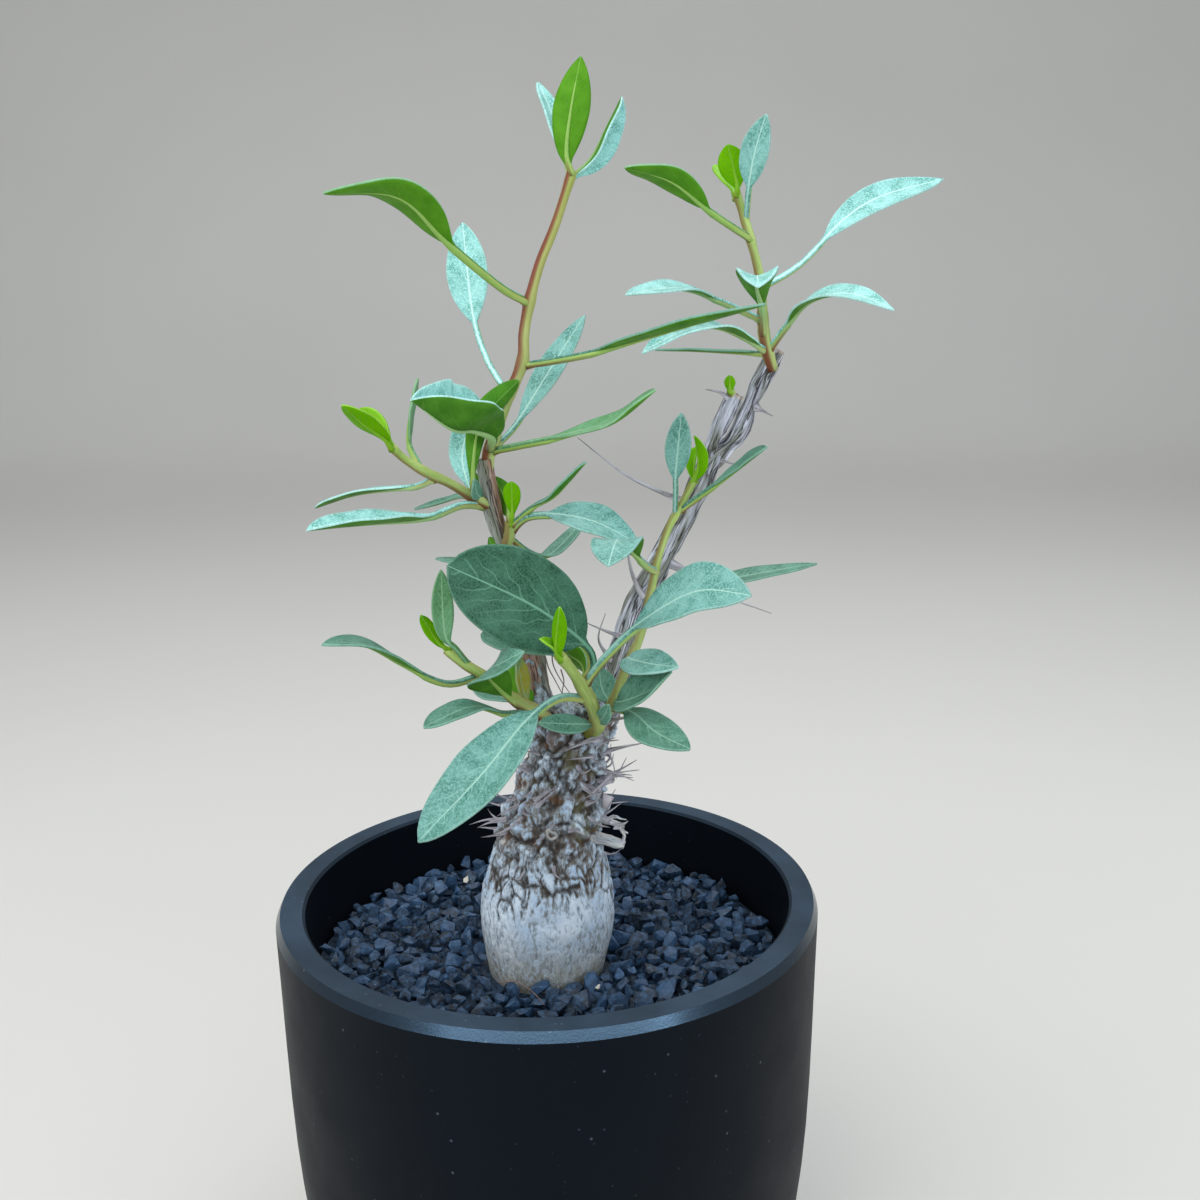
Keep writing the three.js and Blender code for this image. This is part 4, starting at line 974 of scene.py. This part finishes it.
def pot_outline():
    """Radius and height round the wall, from the middle of the underside to the middle of the floor."""
    foot_inside = FOOT_RADIUS - FOOT_WIDTH
    rim_inside = RIM_RADIUS - RIM_WIDTH
    shoulder = POT_HEIGHT - CHAMFER[1]
    return [
        (0, 0), (PAD_RADIUS, 0), (PAD_RADIUS + 0.8, RECESS), (foot_inside - 1, RECESS), (foot_inside, 0),
        (FOOT_RADIUS, 0), (FOOT_RADIUS + 4.5, 1.6),
        *[(outer_radius(height), height) for height in (7, 11, 16, 22, 29, 37, 46, 56, 67, 79, 92)],
        (outer_radius(shoulder), shoulder), (RIM_RADIUS - CHAMFER[0], POT_HEIGHT),
        (rim_inside + 0.6, POT_HEIGHT), (rim_inside, POT_HEIGHT - 0.6),
        *[(inner_radius(height), height) for height in (96, 80, 62, 44, 28, 16)],
        (inner_radius(16) - 5, FLOOR_THICKNESS), (0, FLOOR_THICKNESS),
    ]


def cutter(shape, **sizes):
    """A hidden solid that the pot's underside is cut by."""
    bm = bmesh.new()
    shape(bm, **sizes)
    return new_object("cutter", new_mesh("cutter", bm))


def underside_cutters():
    """Four drain holes, and four notches through the foot ring."""
    cutters = []
    for i in range(4):
        turn = Matrix.Rotation((i + 0.5) * math.pi / 2, 4, "Z")
        hole = turn @ Matrix.Translation((DRAIN_CIRCLE * MM, 0, 0))
        notch = turn @ Matrix.Translation(((FOOT_RADIUS - 1) * MM, 0, 0)) @ Matrix.Diagonal(
            ((2 * FOOT_WIDTH + 2) * MM, NOTCH_WIDTH * MM, 1.5 * RECESS * MM, 1))
        cutters.append(cutter(bmesh.ops.create_cone, cap_ends=True, segments=32, radius1=DRAIN_RADIUS * MM,
                              radius2=DRAIN_RADIUS * MM, depth=3 * FLOOR_THICKNESS * MM, matrix=hole))
        cutters.append(cutter(bmesh.ops.create_cube, size=1, matrix=notch))
    return cutters


def build_pot(material):
    """The turned wall, cut from below, with its edges softened."""
    bm = new_bmesh()
    verts = [bm.verts.new((radius * MM, 0, height * MM)) for radius, height in pot_outline()]
    edges = [bm.edges.new(pair) for pair in zip(verts, verts[1:])]
    bmesh.ops.spin(bm, geom=verts + edges, cent=(0, 0, 0), axis=(0, 0, 1), angle=math.tau,
                   steps=POT_SEGMENTS, use_merge=True)
    bmesh.ops.remove_doubles(bm, verts=bm.verts[:], dist=1e-6)
    pot = finish_piece("pot_shell", bm, [material], "pot")
    cutters = underside_cutters()
    for tool in cutters:
        pot.modifiers.new("cut", "BOOLEAN").object = tool
    applied(pot)
    for tool in cutters:
        bpy.data.objects.remove(tool)
    edge = pot.modifiers.new("soft_edges", "BEVEL")
    edge.width = BEVEL_WIDTH * MM
    edge.segments = 3
    edge.limit_method = "ANGLE"
    edge.angle_limit = math.radians(24)
    edge.harden_normals = True


# Filling

def stone_shapes(count):
    """Angular broken stones about one unit in radius."""
    draw = random.Random(3)
    shapes = []
    for _ in range(count):
        bm = bmesh.new()
        for _ in range(STONE_CORNERS):
            way = Vector((draw.gauss(0, 1), draw.gauss(0, 1), draw.gauss(0, 1))).normalized()
            bm.verts.new(way * draw.uniform(0.8, 1.1))
        hull = bmesh.ops.convex_hull(bm, input=bm.verts[:])
        bmesh.ops.delete(bm, geom=hull["geom_interior"], context="VERTS")
        shapes.append(new_mesh("stone_shape", bm))
    return shapes


def add_stone(bm, shape, place, size, draw, tone=None):
    """One stone, turned and stretched at random. Its tone is its tint, how dull it is and how pale."""
    layer = bm.verts.layers.float_vector["tone"]
    before = len(bm.verts)
    bm.from_mesh(shape)
    bm.verts.ensure_lookup_table()
    stone = bm.verts[before:]
    turn = Matrix.Rotation(draw.uniform(0, math.tau), 4, "X")
    turn = turn @ Matrix.Rotation(draw.uniform(0, math.tau), 4, "Z")
    stretch = Matrix.Diagonal((size * draw.uniform(0.9, 1.35), size * draw.uniform(0.7, 1.0),
                               size * draw.uniform(0.6, 0.95), 1))
    bmesh.ops.transform(bm, matrix=Matrix.Translation(place) @ turn @ stretch, verts=stone)
    tone = tone or (draw.random() ** 1.5, draw.random(), 0)
    for vert in stone:
        vert[layer] = tone


def build_gravel(material):
    """Two loose layers of stones over a dark bed, none of them inside the caudex or the wall, and two
    stray pale grains."""
    bm = new_bmesh()
    draw = random.Random(11)
    shapes = stone_shapes(STONE_SHAPES)
    reach = inner_radius(GRAVEL_LEVEL) - 0.6
    for level, count in STONE_LAYERS:
        for i in range(count):
            size = draw.uniform(*(COMMON_STONE if i % 7 else LARGE_STONE))
            radius = (reach - size * 0.8) * math.sqrt((i + 0.5) / count)
            angle = i * GOLDEN_ANGLE + level
            x = radius * math.cos(angle) + draw.uniform(-0.9, 0.9)
            y = radius * math.sin(angle) + draw.uniform(-0.9, 0.9)
            trunk = math.hypot(x - CAUDEX_CENTRE[0], y - CAUDEX_CENTRE[1])
            if trunk < 12.4 + size or math.hypot(x, y) > reach - size * 0.8:
                continue
            place = Vector((x, y, level + draw.uniform(-0.7, 0.7))) * MM
            add_stone(bm, draw.choice(shapes), place, size * MM, draw)
    for shape, (place, size, pale) in zip(shapes, STRAY_GRAINS):
        add_stone(bm, shape, Vector(place) * MM, size * MM, draw, (0, 0.5, pale))
    bmesh.ops.create_cone(bm, cap_ends=True, segments=96, radius1=reach * MM, radius2=reach * MM,
                          depth=1.2 * MM, matrix=Matrix.Translation((0, 0, (SOIL_LEVEL + 0.9) * MM)))
    finish_piece("gravel_stones", bm, [material], "gravel_top", smooth=False)


# Wood

def caudex_at(height):
    """Centre and radius of the caudex at a height, both in millimetres."""
    above = next(i for i, ring in enumerate(CAUDEX) if ring[0] > height)
    low, high = CAUDEX[above - 1], CAUDEX[above]
    share = (height - low[0]) / (high[0] - low[0])
    return low[1] + (high[1] - low[1]) * share, low[2] + (high[2] - low[2]) * share


def add_knob(bm, place, size, outward):
    """A squat bump with a ring round a sunken middle, where an old shoot broke off."""
    ball = bmesh.ops.create_icosphere(bm, subdivisions=3, radius=size)["verts"]
    for vert in ball:
        dent = max(0.0, vert.co.z / size - 0.55)
        vert.co.z -= dent * size * 0.9
    aim = outward.to_track_quat("Z", "Y").to_matrix().to_4x4()
    flatten = Matrix.Diagonal((1, 1, 0.8, 1))
    bmesh.ops.transform(bm, matrix=Matrix.Translation(place) @ aim @ flatten, verts=ball)


def between(value, low, high):
    """How far a value is from low to high, held from 0 to 1."""
    return min(max((value - low) / (high - low), 0), 1)


def lumpy(place, sharpness):
    """Rounded lumps with narrow gaps between them, from 0 in the gaps to 1."""
    near, far = noise.voronoi(place)[0][:2]
    return min((far - near) * sharpness, 1.0)


def bark_height(place):
    """How far the bark stands out at a place, in millimetres, and as a share: long flakes at mid height,
    swirled knobs and folds in the neck."""
    z = place.z / MM
    low = between(z + 8 * noise.noise(place * 70), 103, 114)
    neck = between(z, 117, 124)
    swirled = place + noise.noise_vector(place * 150) * 2.6 * MM
    flakes = lumpy(Vector((swirled.x * 420, swirled.y * 420, swirled.z * 110)), 3.0)
    lumps = lumpy(swirled * 170, 1.5)
    knots = lumpy(swirled * 340, 1.7)
    fine = noise.noise(place * 1100)
    middle = low * (1 - neck)
    height = 0.4 * noise.noise(place * 90) + middle * (0.6 * flakes - 0.4)
    height += neck * (1.8 * lumps + 1.1 * knots - 1.6) + (0.08 + 0.2 * neck) * fine
    crest = 1 - low + middle * flakes + neck * min(0.55 * lumps + 0.55 * knots, 1)
    return height, between(crest + 0.3 * fine, 0, 1)


def add_caudex_body(bm):
    """The swollen body as a tube of level rings."""
    stations = []
    radii = []
    for i in range(CAUDEX[-1][0] - CAUDEX[0][0]):
        height = CAUDEX[0][0] + i + 0.5
        x, radius = caudex_at(height)
        stations.append(Matrix.Translation(Vector((x, CAUDEX_CENTRE[1], height)) * MM))
        radii.append(radius * MM)
    add_tube(bm, stations, radii, CAUDEX_SIDES)


def add_neck_knobs(bm):
    """Knobs in a rising spiral round the neck."""
    draw = random.Random(5)
    for i in range(KNOB_COUNT):
        height = NECK[0] + (NECK[1] - NECK[0]) * (i + 0.5) / KNOB_COUNT
        x, radius = caudex_at(height)
        angle = i * GOLDEN_ANGLE / 2 + 0.5
        outward = Vector((math.cos(angle), math.sin(angle), 0.35))
        sunk = 0.9 * radius
        place = Vector((x + sunk * outward.x, CAUDEX_CENTRE[1] + sunk * outward.y, height)) * MM
        add_knob(bm, place, KNOB_SIZE * draw.uniform(0.6, 1.1) * MM, outward)


def add_stem_feet(bm):
    """The widening feet of the two stems that grow out of the neck."""
    steps = 12
    for stem in WOOD:
        if "stem" in stem["name"]:
            foot = stem["radius"][0]
            places, _ = smooth_line(stem["points"][:3], steps)
            add_tube(bm, stations_along(places, (1, 0, 0), 0), tapered(foot + 1.4, foot - 0.4, steps), 20)


def build_caudex(material):
    """Body, knobs and stem feet fused into one skin, then roughened as bark."""
    bm = new_bmesh()
    add_caudex_body(bm)
    add_neck_knobs(bm)
    add_stem_feet(bm)
    caudex = finish_piece("caudex_bark_body", bm, [material], "caudex_and_stems")
    fuse = caudex.modifiers.new("fuse", "REMESH")
    fuse.mode = "VOXEL"
    fuse.voxel_size = BARK_VOXEL * MM
    calm = caudex.modifiers.new("calm", "SMOOTH")
    calm.iterations = 2
    applied(caudex)
    mesh = caudex.data
    tone = mesh.attributes.new("tone", "FLOAT_VECTOR", "POINT")
    moved = []
    for vert in mesh.vertices:
        height, crest = bark_height(vert.co)
        moved.append(vert.co + vert.normal * height * MM)
        tone.data[vert.index].vector = (crest, 0, 0)
    for vert, place in zip(mesh.vertices, moved):
        vert.co = place
    mesh.shade_smooth()


def wood_lift(place, grain, number):
    """How far a stem's wood stands out at a place, in millimetres: ridges, lumps and knots."""
    x, y, along = grain
    ridge = noise.noise(Vector((x * 900, y * 900, along * 60 + 7 * number)))
    lump = noise.noise(Vector((x * 300, y * 300, along * 230 + 3 * number)))
    lift = (0.25 - abs(ridge)) * 0.7 + lump * 0.35
    for knot in KNOTS:
        away = (place / MM - Vector(knot[:3])).length
        lift += knot[3] * math.exp(-(away / KNOT_REACH) ** 2) * (1 + 1.5 * ridge)
    return lift


def build_stems(material):
    """The woody stems, ridged along their grain. The forks end in a pale cut."""
    bm = new_bmesh()
    grain = bm.verts.layers.float_vector["grain"]
    tone = bm.verts.layers.float_vector["tone"]
    for number, stem in enumerate(WOOD):
        warm = 0.75 if stem["name"] == "left stem" else 0.0
        places = evenly_along(stem["points"], 12, STEM_STEP)
        stations = stations_along(places, (0, -1, 0), 0)
        made = add_tube(bm, stations, tapered(*stem["radius"], len(places) - 1), STEM_SIDES)
        bm.normal_update()
        for vert in made:
            vert.co += vert.normal * wood_lift(vert.co, vert[grain], number) * MM
            vert[tone] = (warm, 0, 0)
        if "fork" in stem["name"]:
            for vert in made[-STEM_SIDES:]:
                vert[tone] = (warm, 1, 0)
    finish_piece("woody_stems", bm, [material], "caudex_and_stems")


def add_spine(bm, points, foot, tip=0.06, flare=0.8, dried=0.0, cream=0.0):
    """A spine that flares at its root."""
    tone = bm.verts.layers.float_vector["tone"]
    places, _ = smooth_line(points, SPINE_STEPS)
    stations = stations_along(places, (0.3, 0.2, 1), 0)
    radii = [radius * (1 + flare * math.exp(-i / 2.5))
             for i, radius in enumerate(tapered(foot, tip, SPINE_STEPS, 0.8))]
    made = add_tube(bm, stations, radii, SPINE_SIDES)
    for i, vert in enumerate(made):
        vert[tone] = (dried, i / len(made), cream)
    return made


def add_flake(bm):
    """A thin curled flake of dry bark beside the neck."""
    tone = bm.verts.layers.float_vector["tone"]
    chip = bmesh.ops.create_cone(bm, cap_ends=True, segments=5, radius1=0.5, radius2=1.1, depth=2.4)
    for vert in chip["verts"]:
        x, y, z = vert.co
        curl = 0.4 * x * x - 0.2 * z * z
        bent = Vector((x + 0.25 * z, 0.18 * y + curl, z - 0.5 * x))
        vert.co = (bent * FLAKE_SIZE + Vector(FLAKE_PLACE)) * MM
        vert[tone] = (0.35, 0.2, 0)


def add_small_spines(bm):
    """Short spines all round the neck."""
    draw = random.Random(17)
    for i in range(SMALL_SPINES):
        height = draw.uniform(*SMALL_SPINE_BAND)
        x, radius = caudex_at(height)
        angle = i * GOLDEN_ANGLE
        out = Vector((math.cos(angle), math.sin(angle), draw.uniform(-0.3, 0.6)))
        sunk = radius - 1.6
        root = Vector((x + sunk * out.x, CAUDEX_CENTRE[1] + sunk * out.y, height))
        bend = Vector((draw.uniform(-0.6, 0.6), draw.uniform(-0.6, 0.6), draw.uniform(-0.3, 0.8)))
        reach = draw.uniform(4.0, 7.5)
        add_spine(bm, [root, root + out * reach * 0.6, root + out * reach + bend * reach * 0.5],
                  draw.uniform(0.35, 0.55))


def build_spines(material):
    """The long spines, the dead stub, dried hairs, a flake of bark and the small spines."""
    bm = new_bmesh()
    for foot, points in SPINES:
        add_spine(bm, points, foot * 0.85)
    for foot, tip, points in STUBS:
        for vert in add_spine(bm, points, foot, tip, 0.4, cream=1.0):
            vert.co += noise.noise_vector(vert.co * 800) * 0.45 * MM
    for points in HAIRS:
        add_spine(bm, points, 0.16, 0.07, 0, dried=0.8)
    add_flake(bm)
    add_small_spines(bm)
    finish_piece("spines", bm, [material], "caudex_and_stems")


# Leafy shoots

def blade_share(s, widest, taper):
    """Share of the full width at s along the blade, from 0 at its base to 1 at its tip."""
    if s <= 0 or s >= 1:
        return 0.0
    return ((s / widest) ** widest * ((1 - s) / (1 - widest)) ** (1 - widest)) ** taper


def leaf_stations(spec):
    """Stations along a leaf from the stem to its tip, and its length in millimetres."""
    places, length = smooth_line(spec["midrib"], LEAF_STEPS)
    middle = spec["stalk"] + (1 - spec["stalk"]) * spec["widest"]
    stations = stations_along(places, spec["face"], round(LEAF_STEPS * middle))
    turned = []
    for i, station in enumerate(stations):
        turn = math.radians(spec["twist"]) * (i / LEAF_STEPS - middle)
        turned.append(station @ Matrix.Rotation(turn, 4, "Z"))
    return turned, length / MM


def add_blade(bm, spec, stations, length, draw):
    """A folded blade with a gently waved margin, drawn out from a flat grid. It runs down its stalk as a
    narrow strip."""
    blade = bm.verts.layers.float_vector["blade"]
    tone = bm.verts.layers.float_vector["tone"]
    spot = bm.verts.layers.float_vector["spot"]
    rows = 36 if length > 20 else 22
    grid = bmesh.ops.create_grid(bm, x_segments=BLADE_COLUMNS, y_segments=rows, size=0.5)
    fold = math.radians(spec["fold"])
    phase = draw.uniform(0, math.tau)
    waves = draw.uniform(1.6, 2.6) * math.tau
    strip = 0.36 + 0.018 * spec["width"]
    for vert in grid["verts"]:
        across = -2 * vert.co.x
        share = 0.03 + 0.97 * (vert.co.y + 0.5)
        s = (share - spec["stalk"]) / (1 - spec["stalk"])
        open_share = blade_share(s, spec["widest"], spec["taper"])
        half = math.hypot(open_share * spec["width"] / 2, strip * min(1, max(0, (1 - s) * 8)))
        half = max(half, 0.08)
        out = across * half
        opened = min(1.0, max(s, 0) * 4)
        ripple = math.sin(phase + waves * s + (1.3 if across > 0 else 0))
        wave = 0.035 * half * opened * across * across * ripple
        cup = -0.05 * half * math.sin(math.pi * abs(across))
        lift = abs(out) * math.sin(fold) + wave + cup
        vert.co = station_at(stations, share) @ (Vector((out * math.cos(fold), lift, 0)) * MM)
        vert[blade] = (out, s * length * (1 - spec["stalk"]), spec["width"] / 2)
        vert[spot] = (abs(across) if s > 0.04 else 0, max(s, 0), 0)
        vert[tone] = spec["tone"]


def add_stalk(bm, spec, stations):
    """The stalk, which runs on under the blade as its midrib and thins towards the tip."""
    tone = bm.verts.layers.float_vector["tone"]
    reach = spec["stalk"] + (1 - spec["stalk"]) * 0.86
    thick = 0.48 + 0.022 * spec["width"]
    line = []
    radii = []
    for i in range(STALK_STEPS + 1):
        share = reach * i / STALK_STEPS
        on_blade = max(0.0, (share - spec["stalk"]) / (1 - spec["stalk"]))
        radius = thick * (1 - 0.85 * min(on_blade / 0.86, 1) ** 0.5) * (1.25 if i == 0 else 1)
        line.append(station_at(stations, share) @ Matrix.Translation((0, -0.75 * radius * MM, 0)))
        radii.append(radius * MM)
    made = add_tube(bm, line, radii, STALK_SIDES)
    young, silver, yellow = spec["tone"]
    for i, vert in enumerate(made):
        share = i / len(made)
        bare = max(0.0, 1 - share * reach / max(spec["stalk"], 0.15))
        fresh = young + (0.5 - 0.5 * young) * (1 - bare)
        vert[tone] = (fresh, 0.3 * (1 - bare) * silver + 0.1 * yellow, 0.95 * bare ** 0.5 * (1 - 0.6 * young))


def add_shoot_stem(bm, shoot):
    """A shoot's green stem, a little thicker wherever a leaf leaves it."""
    tone = bm.verts.layers.float_vector["tone"]
    grain = bm.verts.layers.float_vector["grain"]
    places = evenly_along(shoot["stem"], 10, SHOOT_STEP)
    steps = len(places) - 1
    roots = [Vector(spec["midrib"][0]) * MM for spec in shoot["leaves"]]
    radii = []
    for place, radius in zip(places, tapered(*shoot["radius"], steps)):
        near = min((place - root).length for root in roots) / MM
        radii.append(radius * (1 + 0.22 * math.exp(-(near / 1.6) ** 2)))
    made = add_tube(bm, stations_along(places, (0, 1, 0.2), 0), radii, SHOOT_SIDES)
    red_foot, red_top = shoot["red"]
    for i, vert in enumerate(made):
        share = i / len(made)
        fresh_foot = shoot["fresh_foot"] * math.exp(-(vert[grain].z / (6 * MM)) ** 2)
        vert[tone] = (max(0.35 * share * share, fresh_foot), 0, red_foot + (red_top - red_foot) * share)


def build_shoot(shoot, stem_material, upper, under):
    """One leafy shoot: its blades as one piece, its stem and stalks as another."""
    draw = random.Random(len(shoot["name"]) * 31 + len(shoot["leaves"]))
    blades = new_bmesh()
    stalks = new_bmesh()
    for spec in shoot["leaves"]:
        stations, length = leaf_stations(spec)
        add_blade(blades, spec, stations, length, draw)
        add_stalk(stalks, spec, stations)
    add_shoot_stem(stalks, shoot)
    piece = finish_piece(shoot["name"] + "_blades", blades, [upper, under], shoot["name"],
                         recalculate=False)
    thick = piece.modifiers.new("thickness", "SOLIDIFY")
    thick.thickness = BLADE_THICKNESS * MM
    thick.offset = 0
    thick.material_offset = 1
    finish_piece(shoot["name"] + "_stalks", stalks, [stem_material], shoot["name"])


# Studio

def build_sweep():
    """A pale floor that curves up into a backdrop."""
    bm = bmesh.new()
    verts = [bm.verts.new((-SWEEP_WIDTH / 2, y, z)) for y, z in SWEEP_LINE]
    edges = [bm.edges.new(pair) for pair in zip(verts, verts[1:])]
    out = bmesh.ops.extrude_edge_only(bm, edges=edges)["geom"]
    far = [item for item in out if isinstance(item, bmesh.types.BMVert)]
    bmesh.ops.translate(bm, verts=far, vec=(SWEEP_WIDTH, 0, 0))
    bmesh.ops.recalc_face_normals(bm, faces=bm.faces[:])
    mesh = new_mesh("studio_sweep", bm)
    mesh.shade_smooth()
    mesh.materials.append(floor_material())
    sweep = new_object("studio_sweep", mesh)
    curve = sweep.modifiers.new("curve", "SUBSURF")
    curve.levels = curve.render_levels = 3
    curve.boundary_smooth = "PRESERVE_CORNERS"


def light_studio():
    """A faint even sky and soft rectangular lights, all aimed at the plant."""
    world = bpy.data.worlds.new("studio_light")
    world.use_nodes = True
    sky = world.node_tree.nodes["Background"]
    sky.inputs["Color"].default_value = SKY_COLOUR
    sky.inputs["Strength"].default_value = SKY_POWER
    bpy.context.scene.world = world
    for name, (place, size, power, colour) in LIGHTS.items():
        light = bpy.data.lights.new(name, "AREA")
        light.shape = "RECTANGLE"
        light.size, light.size_y = size
        light.energy = power
        light.color = colour
        aim = (Vector(LIGHT_AIM) - Vector(place)).to_track_quat("-Z", "Y")
        new_object(name, light).matrix_world = Matrix.Translation(place) @ aim.to_matrix().to_4x4()


def place_camera():
    """The photograph's view, which looks down a little and leans slightly."""
    lens = bpy.data.cameras.new("photo_view")
    lens.sensor_width = SENSOR_WIDTH
    lens.lens = FOCAL_LENGTH
    lens.clip_start = 0.01
    camera = new_object("photo_view", lens)
    pitch = Matrix.Rotation(math.radians(90 - CAMERA_PITCH), 4, "X")
    roll = Matrix.Rotation(math.radians(-CAMERA_ROLL), 4, "Z")
    camera.matrix_world = Matrix.Translation(Vector(CAMERA_PLACE) * MM) @ pitch @ roll
    bpy.context.scene.camera = camera
    bpy.context.scene.view_settings.view_transform = "Standard"


# Assembly

place_camera()
build_sweep()
light_studio()

build_pot(pot_material())
potting = potting_material()
for material_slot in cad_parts["potting_mix"].material_slots:
    material_slot.link = "OBJECT"
    material_slot.material = potting
build_gravel(gravel_material())
build_caudex(caudex_material())
build_stems(stem_wood_material())
build_spines(spine_material())

green_stem = green_stem_material()
leaf_upper = leaf_upper_material()
leaf_under = leaf_under_material()
for each_shoot in SHOOTS:
    build_shoot(each_shoot, green_stem, leaf_upper, leaf_under)
